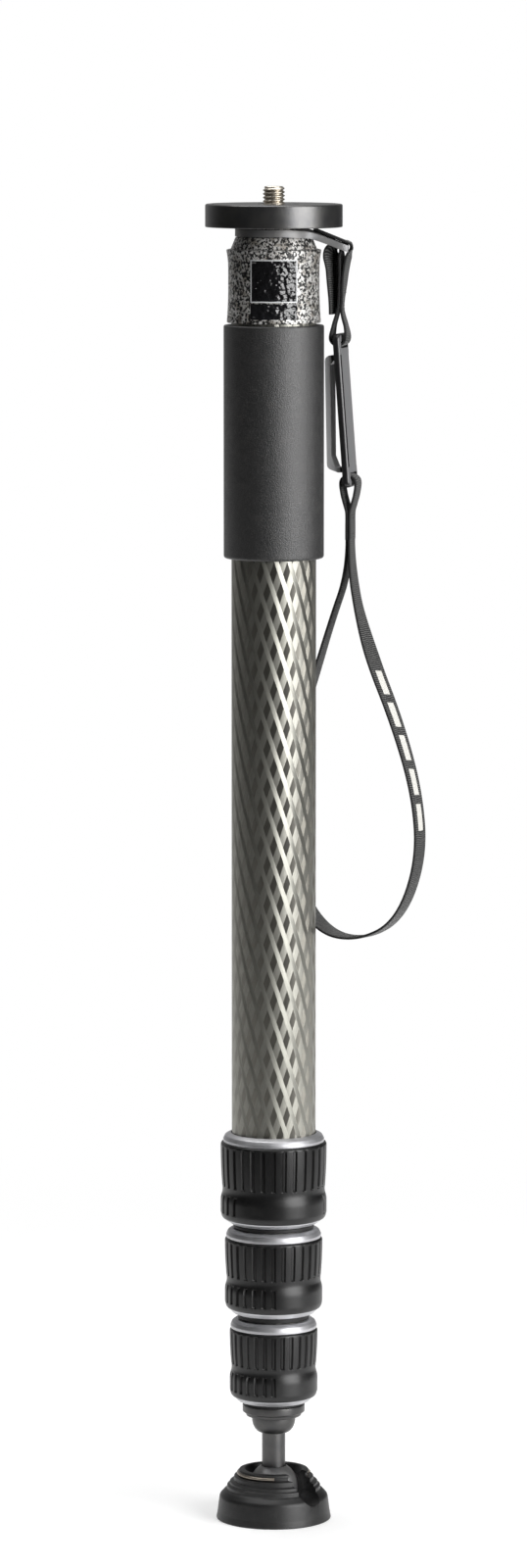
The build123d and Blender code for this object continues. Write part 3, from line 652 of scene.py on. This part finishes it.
def makeNeck():
    across, wide = sideways(neck["turn"])
    eye, base = neck["eye"], neck["barHeight"]
    bulge, rise = webbing["eyeCorner"]
    half = [*neck["side"], (eye, 0.0), (bulge * eye, rise * eye)]
    outline = half + [(0.0, eye)] + [(-reach, height) for reach, height in reversed(half)]
    points = [(Vector((*wristLoop["bar"], base + height)) + reach * across) * mm for reach, height in outline]
    mesh = ribbonMesh(smoothLine(points), wide, webbing["width"], webbing["thick"])
    piece = place(mesh, "wristNeck", "webbing", "wrist_strap", ["wrist_strap_neck"])
    levels = [base - level for level in neck["stitches"]]
    stitchRows("neckStitching", (*wristLoop["bar"], 0), across, wide, levels, "wrist_strap")
    return piece


flap = {  # the loose end: (across, height) of its middle, and how far each place faces the front
    "line": ((28.6, 563.0), (26.8, 562.7), (25.3, 560.8), (25.2, 556.5), (25.6, 549.5), (25.9, 541.5),
             (25.9, 534.0)),
    "facing": ((0, 25), (0.12, 51), (0.4, 48), (0.6, 32), (1, 20)), "thick": 1.2,
}


def makeFlap():
    line = smoothLine([Vector((across, 0, height)) * mm for across, height in flap["line"]], 8)
    mesh = ribbonMesh(line, lyingAlong(flap["facing"], len(line)), webbing["width"], flap["thick"])
    place(mesh, "tetherTail", "webbing", "tether", ())


# The strap ring: a flat ring whose tab flares out of it and droops, and the ply that lies on the tab
strapRing = {
    "low": 567.8, "thick": 3.2, "hole": 12.3, "radius": 16.9, "bend": 15.7, "ease": 1.2, "droop": 22.0,
    "droopFrom": 4, "droopOver": 8, "reach": 32.3, "half": 8.5, "flare": 6, "corner": 20,
    "thin": 0.3, "thinFrom": 12, "thinOver": 4, "slot": (28.55, 3.6, 12.0),
}
cover = {
    "line": (17.3, 19.0, 21.0, 24.0, 27.0, 30.0, 32.0), "above": 0.72, "width": 15.6, "thick": 1.15,
    "end": ((33.3, -0.75), (33.9, -1.9), (33.8, -3.0)),
}


def tabEdge(angle):  # how far the ring or its tab reaches, counted round from the tab
    ring, flare, power = strapRing["radius"], strapRing["flare"], strapRing["corner"]
    if math.cos(angle) <= 0:
        return ring
    end = strapRing["reach"] / max(0.05, math.cos(angle))
    side = strapRing["half"] / max(0.001, abs(math.sin(angle)))
    tab = (end ** -power + side ** -power) ** (-1 / power)
    return (ring ** flare + tab ** flare) ** (1 / flare)


def tabDroop(across, deep):  # how far the plate has come down there
    past = math.hypot(across, deep) - strapRing["bend"]
    ease = strapRing["ease"]
    run = max(0, past + ease) ** 2 / (4 * ease) if past < ease else past
    share = clamped((across - strapRing["droopFrom"]) / strapRing["droopOver"])
    return run * math.tan(math.radians(strapRing["droop"])) * share * share * (3 - 2 * share)


def makeStrapRing():
    steps, turns = 26, 288
    high = strapRing["low"] + strapRing["thick"]

    def spot(row, column):
        angle = math.tau * column / turns
        under = row > steps
        share = (2 * steps + 1 - row if under else row) / steps
        if row == 2 * steps + 2:  # the first row again
            under, share = False, 0.0
        reach = strapRing["hole"] + (tabEdge(angle) - strapRing["hole"]) * max(0.0, share)
        across, deep = reach * math.cos(angle), -reach * math.sin(angle)
        level = high - tabDroop(across, deep)
        if under:
            thin = strapRing["thin"] * clamped((across - strapRing["thinFrom"]) / strapRing["thinOver"])
            level -= strapRing["thick"] - thin
        return (across * mm, deep * mm, level * mm)

    plate = gridMesh(2 * steps + 3, turns, spot, True, capped=False)
    middle, length, width = strapRing["slot"]
    slot = blockMesh((length, width, 12), (middle, 0, high - tabDroop(middle, 0) - 1.5))
    place(combined(plate, slot, bevel=0.3), "strapRing", "ring", "strap_ring", ["strap_ring"])


def makeCover():
    high = strapRing["low"] + strapRing["thick"] + cover["above"]
    points = [(across, high - tabDroop(across, 0)) for across in cover["line"]]
    points += [(across, points[-1][1] + drop) for across, drop in cover["end"]]
    line = smoothLine([Vector((across, 0, height)) * mm for across, height in points])
    mesh = ribbonMesh(line, Vector((0, 1, 0)), cover["width"], cover["thick"])
    place(mesh, "tabCover", "cover", "strap_ring", ())


def makeTether():
    lean = math.radians(tether["lean"])
    pivot = Vector(tether["pivot"])
    down = Vector((-math.sin(lean), 0, -math.cos(lean)))
    level = Vector((math.cos(lean), 0, -math.sin(lean)))
    span, top, low = tether["span"], tether["topEye"], tether["lowEye"]
    bulge, rise = webbing["eyeCorner"]
    half = [(0.0, -top), (bulge * top, -rise * top), (top, 0.0), *tether["side"],
            (low, span), (bulge * low, span + rise * low)]
    outline = half + [(0.0, span + low)] + [(-reach, run) for reach, run in reversed(half[1:])]

    def middle(run):
        return pivot + down * run + level * between(tether["shift"], clamped(run / span))

    def lying(run):  # unit vectors through the strap and along its width, turned with its twist
        turn = -math.radians(between(tether["facing"], clamped(run / span)))
        through = Vector((level.x * math.cos(turn), math.sin(turn), level.z * math.cos(turn)))
        return through, Vector((-math.sin(turn), math.cos(turn), 0))

    runs = smoothLine([Vector(point) for point in outline + [outline[0]]])[:-1]
    path = [(middle(run) + reach * lying(run)[0]) * mm for reach, run in runs]
    mesh = ribbonMesh(path, [lying(run)[1] for reach, run in runs], webbing["width"], webbing["thick"], True)
    place(mesh, "tetherStrap", "webbing", "tether", ["tether_strap"])
    makeFlap()
    for name, run in tether["stitches"].items():
        centre = middle(run)
        levels = (centre.z, centre.z - stitch["rows"])
        stitchRows("tetherStitch" + name, (centre.x, centre.y, 0), *lying(run), levels, "tether")


loopPiece, loopPath = makeLoop()
neckPiece = makeNeck()
tuple(loopPath[0])
[tuple(point) for point in loopPath]
makeTether()
makeStrapRing()
makeCover()
print("straps made")


# Camera platform: the black disc, its reversible stud and three cap screws in its top
platform = {
    "radius": 29.9, "low": 571.8, "high": 581.8, "edge": 0.9, "underEdge": 0.5, "bore": 3.4,
    "grooveRadius": 26.6, "groove": 0.5, "well": 5.65, "wellDepth": 1.65,
    "screws": 3, "screwCircle": 8.7, "screwRadius": 2.55, "screwDepth": 2.25,
}
stud = {
    "radius": 4.7625, "pitch": 1.5875, "depth": 0.95, "crest": 0.86, "high": 589.4, "chamfer": 0.9,
    "slot": 1.4, "slotDepth": 1.6, "sunk": 1.6, "flange": 5.6, "flangeBore": 3.0, "flangeDrop": 0.05,
}


def makePlatform():
    low, high, groove = platform["low"], platform["high"], platform["groove"]
    ring, well, bore = platform["grooveRadius"], platform["well"], platform["bore"]
    slope, seat = 0.6 * groove, high - platform["wellDepth"]
    disc = lathe([
        (bore, low, 0), (platform["radius"], low, platform["underEdge"]), (platform["radius"], high, platform["edge"]),
        (ring + groove, high, 0.1), (ring + slope, high - groove, 0.1), (ring - slope, high - groove, 0.1),
        (ring - groove, high, 0.1), (well, high, 0.15), (well, seat, 0), (bore, seat, 0),
    ])
    wells = []
    for step in range(platform["screws"]):
        turn = Matrix.Rotation(math.tau * step / platform["screws"], 4, "Z")
        shift = Matrix.Translation((platform["screwCircle"] * mm, 0, 0))
        wells.append(rodMesh(platform["screwRadius"], high - platform["screwDepth"], high + 1, turn @ shift, 40))
    place(combined(disc, *wells), "platformDisc", "disc", "handle", ["top_disc"], 30)


def makeStud():  # a real helix, cut off square below and chamfered above
    base, high, pitch = platform["high"] - stud["sunk"], stud["high"], stud["pitch"]
    columns, perTurn = 96, 14
    rows = int((high - base) / pitch * perTurn) + 1

    def spot(row, column):
        level = base + min(row, rows - 1) * (high - base) / (rows - 1)
        angle = math.tau * column / columns
        phase = ((level - base) / pitch - column / columns) % 1
        groove = max(0, 1 - abs(2 * phase - 1) * 1.25)
        radius = stud["radius"] - stud["depth"] * min(groove, stud["crest"])
        radius = min(radius, stud["radius"] - stud["chamfer"] + max(0, high - level))
        return polar(radius, angle, level)

    slot = blockMesh((12, stud["slot"], 2 * stud["slotDepth"]), (0, 0, high))
    thread = combined(gridMesh(rows, columns, spot, True), slot)
    place(thread, "studThread", "stud", "handle", ["camera_stud"], 40)
    outer, bore, top = stud["flange"], stud["flangeBore"], platform["high"] - stud["flangeDrop"]
    flange = lathe([(bore, base, 0), (outer, base, 0.2), (outer, top, 0.3), (bore, top, 0)], 144)
    place(flange, "studFlange", "stud", "handle", ())


makePlatform()
makeStud()
print("platform and stud made")


# Cast collar with its blank glossy label, and the foam grip under it
head = {
    "foot": 530.4, "footRadius": 20.5, "waist": 19.85, "waistLow": 544.0, "waistHigh": 554.0,
    "shoulder": 562.0, "shoulderRadius": 20.7, "neckLow": 18.7, "neckTop": 567.5, "neckRadius": 16.7,
    "spigot": 12.0, "bore": 18.6, "boreTop": 548.3, "hollow": 10.6, "hollowLow": 550,
}
label = {
    "width": 20.2, "height": 18.5, "low": 539.7, "border": 0.5, "proud": 0.15, "borderProud": 0.2,
    "patchLow": 532.4, "patchHigh": 539.2, "patchProud": 0.04,
}
grip = {"radius": 21.9, "low": 427.5, "high": 529.4, "inner": 18.56, "edge": 4.4, "topEdge": 0.9}


def castRadius(level):  # the collar's side: pinched between its foot and its shoulder
    waist = head["waist"]
    if level < head["waistLow"]:
        share = (head["waistLow"] - level) / (head["waistLow"] - head["foot"])
        return waist + (head["footRadius"] - waist) * share ** 1.6
    if level > head["waistHigh"]:
        share = (level - head["waistHigh"]) / (head["shoulder"] - head["waistHigh"])
        return waist + (head["shoulderRadius"] - waist) * share ** 2
    return waist


def makeHead():
    side = [(castRadius(level), level, 0) for level in range(532, 562, 2)]
    collar = lathe([
        (head["bore"], head["foot"], 0), (head["footRadius"], head["foot"], 0.4), *side,
        (head["shoulderRadius"], head["shoulder"], 0.5), (head["neckLow"], head["shoulder"] + 0.5, 0.3),
        (head["neckRadius"], head["neckTop"], 0.6), (head["spigot"], head["neckTop"], 0),
        (head["spigot"], platform["low"], 0), (head["hollow"], platform["low"], 0),
        (head["hollow"], head["hollowLow"], 0), (head["bore"], head["boreTop"], 0),
    ])
    place(collar, "castCollar", "cast", "handle", ["collar_casting"])


def makeLabel():
    half, edge, low = label["width"] / 2, label["border"], label["low"]
    high = low + label["height"]
    panel = wrapped(-half, half, low, high, label["proud"])
    place(panel, "labelPanel", "label", "handle", ["label_panel"])
    sides = {
        "Left": (-half, edge - half, low, high), "Right": (half - edge, half, low, high),
        "Low": (-half, half, low, low + edge), "High": (-half, half, high - edge, high),
    }
    for name, bounds in sides.items():
        strip = wrapped(*bounds, label["borderProud"])
        place(strip, "labelBorder" + name, "border", "handle", ())
    patch = wrapped(-half, half, label["patchLow"], label["patchHigh"], label["patchProud"])
    place(patch, "blankPatch", "patch", "handle", ())


def wrapped(left, right, low, high, proud):  # a thin plate laid round the front of the collar
    columns, rows, back = 28, 16, 0.3

    def spot(row, column):
        outer = row < rows
        level = low + (high - low) * (row if outer else 2 * rows - 1 - row) / (rows - 1)
        radius = castRadius(level) + (proud if outer else -back)
        angle = math.asin((left + (right - left) * column / (columns - 1)) / castRadius(level))
        return polar(radius, angle, level)

    return gridMesh(2 * rows, columns, spot)


def makeGrip():
    outline = [(grip["inner"], grip["low"] + 0.6, 0.3), (grip["radius"], grip["low"], grip["edge"]),
               (grip["radius"], grip["high"], grip["topEdge"]), (grip["inner"], grip["high"], 0)]
    place(lathe(outline), "foamGrip", "grip", "handle", ["grip_sleeve"])


makeHead()
makeLabel()
makeGrip()
print("head made")


# Telescoping tubes: the outer one shows, the others come out of it
tubes = {
    "radii": (18.5, 16.45, 14.4, 12.35), "wall": 1.5, "tops": (546, 544, 542, 540),
    "bottoms": (147.5, 107.3, 67.5, 51.5), "bodies": ("handle", "section_2", "section_3", "section_4"),
}


def makeTubes():
    for index, radius in enumerate(tubes["radii"]):
        name = f"carbonTube{index + 1}"
        finishes[name] = carbonBraid(name, radius * mm)
        low, high = tubes["bottoms"][index], tubes["tops"][index]
        inner = radius - tubes["wall"]
        outline = [(inner, low, 0.2), (radius, low, 0.2), (radius, high, 0.2), (inner, high, 0.2)]
        place(lathe(outline), name, name, tubes["bodies"][index], [f"tube_{index + 1}"])


# Twist locks: an aluminium collar with a grooved rubber grip round it
locks = {
    "low": (133.1, 92.9, 53.1), "height": (40.5, 37.9, 36.9), "grip": (23.4, 21.56, 19.44),
    "rim": (19.3, 18.4, 16.8), "band": (22.3, 21.0, 19.1), "foot": (18.9, 18.0, 15.7),
    "padStart": (-38.0, 5.0, 12.0), "padSpan": 107.0,
    "rimDrop": 4.0, "footRise": 2.2, "waistDepth": 0.85, "waistRise": 15.3, "bulgeLow": 5.6, "bulgeHigh": 10.8,
    "shoulder": 1.4, "lowerEdge": 1.6, "rubber": 1.7, "lap": 0.06, "gap": 0.3, "thread": 1.95,
    "grooves": 30, "grooveWidth": 1.25, "grooveDepth": 0.85, "grooveEase": 0.35, "longLow": 17.2, "longDrop": 1.3,
    "shortLow": 5.2, "shortHigh": 13.2,
}
bumpers = {
    "inner": (16.5, 14.45, 12.4), "outer": (17.8, 15.7, 13.2),
    "low": (131.1, 90.3, 51.5), "high": (132.8, 92.6, 52.8),
}


def fallen(share):  # how far a quarter round has fallen away at this share of its width
    return 1 - math.sqrt(max(0, 1 - min(1, share) ** 2))


def gripRadius(rise, height, radius):  # the grip's outline above the lock's foot, in mm
    top, waistRise, deep = height - locks["rimDrop"], locks["waistRise"], locks["waistDepth"]
    shoulder, bulgeLow, bulgeHigh = locks["shoulder"], locks["bulgeLow"], locks["bulgeHigh"]
    if rise > top - shoulder:
        return radius - shoulder * fallen((rise - top + shoulder) / shoulder)
    if rise > waistRise:
        share = (rise - waistRise) / (top - shoulder - waistRise)
        return radius - deep + deep * math.sin(share * math.pi / 2) ** 0.8
    if rise > bulgeHigh:
        share = (rise - bulgeHigh) / (waistRise - bulgeHigh)
        return radius - deep * (1 - math.cos(share * math.pi)) / 2
    if rise > bulgeLow:
        return radius
    return radius - locks["lowerEdge"] * fallen((bulgeLow - rise) / (bulgeLow - locks["footRise"]))


def lockGrip(index):  # long grooves above, short ones below but for the bare pad
    low, height, radius = locks["low"][index], locks["height"][index], locks["grip"][index]
    top = height - locks["rimDrop"]
    bottom = locks["footRise"]
    core = radius - locks["rubber"] + locks["lap"]
    half = math.degrees(locks["grooveWidth"] / 2 / radius)
    pitch = 360 / locks["grooves"]
    walls = (step * half / pitch for step in (-1.6, -1.15, -0.65, 0.0, 0.65, 1.15, 1.6))
    offsets = (-0.5, -0.36, *walls, 0.36)
    edges = (locks["longLow"], top - locks["longDrop"], locks["shortLow"], locks["shortHigh"])
    levels = {bottom, bottom + 0.25, bottom + 0.7, top, top - 0.15, top - 0.5}
    levels.update(edge + shift for edge in edges for shift in (-0.25, 0, 0.3, 0.9))
    levels.update(bottom + (top - bottom) * step / 26 for step in range(1, 26))
    levels = sorted(level for level in levels if bottom <= level <= top)
    rows = len(levels) + 3  # up the outside, down the inside, then the first row again

    def cut(level, start, end):
        ease = locks["grooveEase"]
        return clamped(min((level - start + ease / 2) / ease, (end + ease / 2 - level) / ease))

    def spot(row, column):
        groove, part = divmod(column, len(offsets))
        turn = math.radians((groove + offsets[part]) * pitch)
        row = row % (rows - 1)
        if row >= len(levels):
            return polar(core, turn, low + (top if row == len(levels) else bottom))
        rise = levels[row]
        depth = cut(rise, locks["longLow"], top - locks["longDrop"])
        if (groove * pitch - locks["padStart"][index]) % 360 > locks["padSpan"]:
            depth = max(depth, cut(rise, locks["shortLow"], locks["shortHigh"]))
        wall = clamped((1.6 * half - abs(offsets[part]) * pitch) / (0.95 * half))
        return polar(gripRadius(rise, height, radius) - locks["grooveDepth"] * depth * wall, turn, low + rise)

    return gridMesh(rows, len(offsets) * locks["grooves"], spot, True, capped=False)


def lockCollar(index):
    low, height = locks["low"][index], locks["height"][index]
    outer, inner, gap = tubes["radii"][index], tubes["radii"][index + 1], locks["gap"]
    high = low + height
    core = locks["grip"][index] - locks["rubber"]
    rim, band, foot = (locks[key][index] for key in ("rim", "band", "foot"))
    bandTop, footTop = high - locks["rimDrop"], low + locks["footRise"]
    bore, thread = outer + gap, outer + locks["thread"]
    return lathe([
        (bore, high, 0.15), (rim, high, 0.5), (rim + (band - rim) * 0.72, high - 1.1, 1.2),
        (band, bandTop + 1.3, 0.7), (band, bandTop, 0.3), (core, bandTop, 0), (core, footTop, 0),
        (core - 0.35, footTop - 0.5, 0.3), (foot, low, 0.5), (inner + gap, low, 0.2),
        (inner + gap, low + 3.4, 0), (bore, low + 4.6, 0), (bore, low + 14.0, 0),
        (thread, low + 14.2, 0), (thread, high - 1.2, 0), (bore, high - 1.2, 0),
    ])


def makeLocks():
    for index in range(3):
        body, section = f"lock_{index + 1}", f"section_{index + 2}"
        place(lockGrip(index), f"lockGrip{index + 1}", "lock", body, [f"{body}_grip"], 50)
        place(lockCollar(index), f"lockCollar{index + 1}", "aluminium", body, [f"{body}_collar"])
        inner, outer, low, high = (bumpers[key][index] for key in ("inner", "outer", "low", "high"))
        ring = lathe([(inner, low, 0), (outer, low, 0.3), (outer, high, 0.4), (inner, high, 0)], 144)
        place(ring, f"bumperRing{index + 2}", "seal", section, [f"bumper_{index + 2}"])


makeTubes()
makeLocks()
print("tubes and locks made")


# Foot end: flange, dome nut and rod, then the ball in its slotted rubber foot. Outlines as (radius, height, corner)
footOutlines = {
    "flange": (
        (4.05, 51.5, 0), (13.8, 51.5, 0.5), (13.8, 48.2, 0.5), (12.4, 47.6, 0.4), (12.2, 46.2, 0.7), (4.05, 46.2, 0),
    ),
    "rod": (
        (0, 65.5, 0), (4, 65.5, 0.4), (4, 45.85, 0), (5.18, 45.85, 0), (5.18, 21.5, 0.3), (3.4, 21.5, 0),
        (3.4, 7.3, 0), (0, 7.3, 0),
    ),
    "rubber": (
        (0.0, 0.0, 0), (25.5, 0.0, 0.5), (24.9, 3.2, 3.0), (24.0, 10.4, 3.4), (21.9, 12.6, 0.5), (20.75, 13.2, 0.25),
        (20.7, 14.9, 0.5), (19.55, 15.35, 0.25), (19.5, 16.6, 0.5), (17.65, 17.05, 0.25), (17.6, 19.1, 0.5),
        (14.9, 19.4, 0.2), (14.9, 21.0, 0.2), (15.7, 21.0, 0.3), (15.25, 21.85, 0.5), (12.9, 22.3, 1.3),
        (10.8, 18.6, 0.2), (10.5, 18.55, 0), (10.5, 13.9, 0), (0.0, 13.9, 0),
    ),
}
dome = {"bore": 5.23, "low": 38.5, "middle": (5.4, 45.2), "reach": (4.26, 6.6), "steps": 12,
        "back": ((9.66, 46.2, 0), (4.05, 46.2, 0), (4.05, 45.9, 0), (5.23, 45.9, 0))}
footEnd = {
    "ball": 11.0, "height": 13.9, "ballCuts": ((5.48, 21.2, 30), (3.45, 7.3, 30), (3.9, -2, 7.3)),
    "cup": 12.52, "cupTop": 18.5, "mouth": 10.2, "gap": 0.12, "rubberGap": 0.05, "floor": 1.3,
    "slot": 5.65, "azimuth": 48.0, "far": 40, "wide": 30,
}
wire = {"reach": 15.65, "thick": 0.75, "level": 20.3, "gap": 94.0, "steps": 60}


def slotCutters():  # the way the rod tilts along: a lying rod at the ball's height, and all above it
    turn = Matrix.Rotation(math.radians(footEnd["azimuth"] - 90), 4, "Z")
    height, far, half = footEnd["height"], footEnd["far"], footEnd["slot"]
    lying = turn @ Matrix.Translation((0, 0, height * mm)) @ Matrix.Rotation(math.pi / 2, 4, "Y")
    above = blockMesh((far, 2 * half, far - height), (far / 2, 0, (far + height) / 2), turn)
    return rodMesh(half, 0, far, lying), above


def ballMesh(radius):
    skin = bmesh.new()
    bmesh.ops.create_uvsphere(skin, u_segments=128, v_segments=64, radius=radius * mm)
    bmesh.ops.translate(skin, vec=(0, 0, footEnd["height"] * mm), verts=skin.verts)
    return sealed(skin)


def domeOutline():
    outline = [(dome["bore"], dome["low"], 0.3)]
    for step in range(1, dome["steps"] + 1):
        angle = math.pi / 2 * step / dome["steps"]
        outline.append((dome["middle"][0] + dome["reach"][0] * math.sin(angle),
                        dome["middle"][1] - dome["reach"][1] * math.cos(angle), 0))
    return [*outline, *dome["back"]]


def makeFootEnd():
    place(lathe(footOutlines["flange"], 160), "footFlange", "blackMetal", "section_4", ["foot_flange"])
    place(lathe(domeOutline(), 128), "domeNut", "blackMetal", "section_4", ["foot_dome_nut"])
    place(lathe(footOutlines["rod"], 96), "footRod", "rod", "section_4", ["foot_rod"])
    ball = combined(ballMesh(footEnd["ball"]), *(rodMesh(*cut) for cut in footEnd["ballCuts"]), bevel=0.2)
    place(ball, "footBall", "ball", "ball", ["foot_ball"])


def makeFoot():
    wide, far, cupTop = footEnd["wide"], footEnd["far"], footEnd["cupTop"]
    room = ballMesh(footEnd["ball"] + footEnd["gap"])
    mouth = rodMesh(footEnd["mouth"], footEnd["height"], far)
    cup = combined(ballMesh(footEnd["cup"]), room, rodMesh(wide, cupTop, far), mouth, *slotCutters())
    place(cup, "socketCup", "plastic", "foot", ["socket_cup"])
    gap = footEnd["rubberGap"]
    lid, floor = rodMesh(wide, cupTop + gap, far), rodMesh(wide, -2, footEnd["floor"])
    hollow = combined(ballMesh(footEnd["cup"] + gap), lid, floor)
    rubberBody = combined(lathe(footOutlines["rubber"], 224), hollow, *slotCutters(), bevel=0.35)
    place(rubberBody, "rubberFoot", "foot", "foot", ["foot_rubber"])


def makeWire():  # an open ring round the foot's lip, its gap over the slot
    start = footEnd["azimuth"] + wire["gap"] / 2
    points = []
    for step in range(wire["steps"] + 1):
        angle = math.radians(start + (360 - wire["gap"]) * step / wire["steps"])
        points.append(polar(wire["reach"], angle, wire["level"]))
    ring = lineMesh(points, thick=wire["thick"] * mm)
    place(ring, "wireRing", "wire", "foot", ["foot_wire_ring"], 60)


makeFootEnd()
makeFoot()
makeWire()
print("foot made")


# CAD pieces that show as they are, or only when the monopod is taken apart, get their finish here
carried = {"belt_clip": "clip", "platform_screws": "steel", "ball_screw": "steel", "bottom_plug": "bare"}
for number in (1, 2, 3):
    carried[f"ferrule_{number}"] = "bare"
    carried[f"collet_{number}"] = "plastic"
    carried[f"lock_{number}_seal"] = "seal"
    carried[f"guide_bush_{number + 1}"] = "plastic"
for node, finish in carried.items():
    for holder in nodes[node].material_slots:
        holder.material = finishes[finish]
print("CAD finishes set")


# Studio: a white floor that keeps the soft shadow, a tall light on the right, a big one above, in metres
studio = {
    "floor": 0.85, "lift": 0.25, "reach": 1.4, "behind": 1.1, "near": 0.3, "far": 0.9,
    "key": {"size": (1.45, 1.7), "at": (1.45, -1.24, 0.7), "power": 52},
    "above": {"size": (2.0, 2.0), "at": (-0.2, 0.2, 2.3), "power": 46},
    "aim": (0, 0, 0.3), "dark": 0.025, "bright": 0.4, "toRight": -0.3, "toBack": 0.95, "from": 0.55, "to": 1.0,
}


def makeFloor():  # the camera and reflections see it a little brighter, and plain white far off
    sheet = bmesh.new()
    bmesh.ops.create_circle(sheet, cap_ends=True, segments=96, radius=studio["reach"])
    bmesh.ops.translate(sheet, vec=(0, studio["behind"], 0), verts=sheet.verts)
    floor = added("floor", sealed(sheet))
    shader = Shader("floorWhite")
    rays = shader.node("ShaderNodeLightPath", {}, {}).socket.node.outputs
    seen = [Wire(shader, rays[f"Is {kind} Ray"]) for kind in ("Camera", "Glossy", "Transmission")]
    seen = seen[0].most(seen[1]).most(seen[2])
    away = shader.vector("LENGTH", {0: shader.place}, 1).step(studio["near"], studio["far"])
    shader.finish(colour=(studio["floor"],) * 3, rough=0.9, shine=0.1)
    lit = shader.node("ShaderNodeEmission", {}, {"Strength": seen * studio["lift"]})
    near = shader.node("ShaderNodeAddShader", {}, {0: Wire(shader, shader.surface.outputs[0]), 1: lit})
    far = shader.node("ShaderNodeEmission", {}, {})
    both = shader.node("ShaderNodeMixShader", {}, {0: away * seen, 1: near, 2: far})
    shader.feed(shader.tree.nodes["Material Output"].inputs["Surface"], both)
    floor.data.materials.append(shader.material)


def makeLights():
    for name in ("key", "above"):
        choice = studio[name]
        lamp = bpy.data.lights.new(name + "Light", "AREA")
        lamp.shape = "RECTANGLE"
        lamp.size, lamp.size_y = choice["size"]
        lamp.energy = choice["power"]
        holder = added(name + "Light", lamp)
        holder.location = choice["at"]
        aim = Vector(studio["aim"]) - Vector(choice["at"])
        holder.rotation_euler = aim.to_track_quat("-Z", "Y").to_euler()


def makeWorld():  # plain white to the camera; what shines sees it darker in front than behind
    world = bpy.data.worlds.new("studioWorld")
    world.use_nodes = True
    bpy.context.scene.world = world
    sky = Tree(world.node_tree, "Background")
    front = (studio["toRight"], studio["toBack"], 0)
    lean = sky.vector("DOT_PRODUCT", {0: sky.node("ShaderNodeTexCoord", {}, {}), 1: front}, 1)
    ramp = sky.node("ShaderNodeMapRange", {}, {
        "Value": lean, "From Min": studio["from"], "From Max": studio["to"], "To Min": studio["dark"],
        "To Max": studio["bright"]})
    seen = sky.node("ShaderNodeLightPath", {}, {})
    sky.feed(sky.surface.inputs["Strength"], sky.node("ShaderNodeMix", {}, {0: seen, 2: ramp, 3: 1.0}))
    sky.feed(sky.surface.inputs["Color"], (1, 1, 1))


makeFloor()
makeLights()
makeWorld()
bpy.context.scene.view_settings.view_transform = "Standard"
print("studio lit")
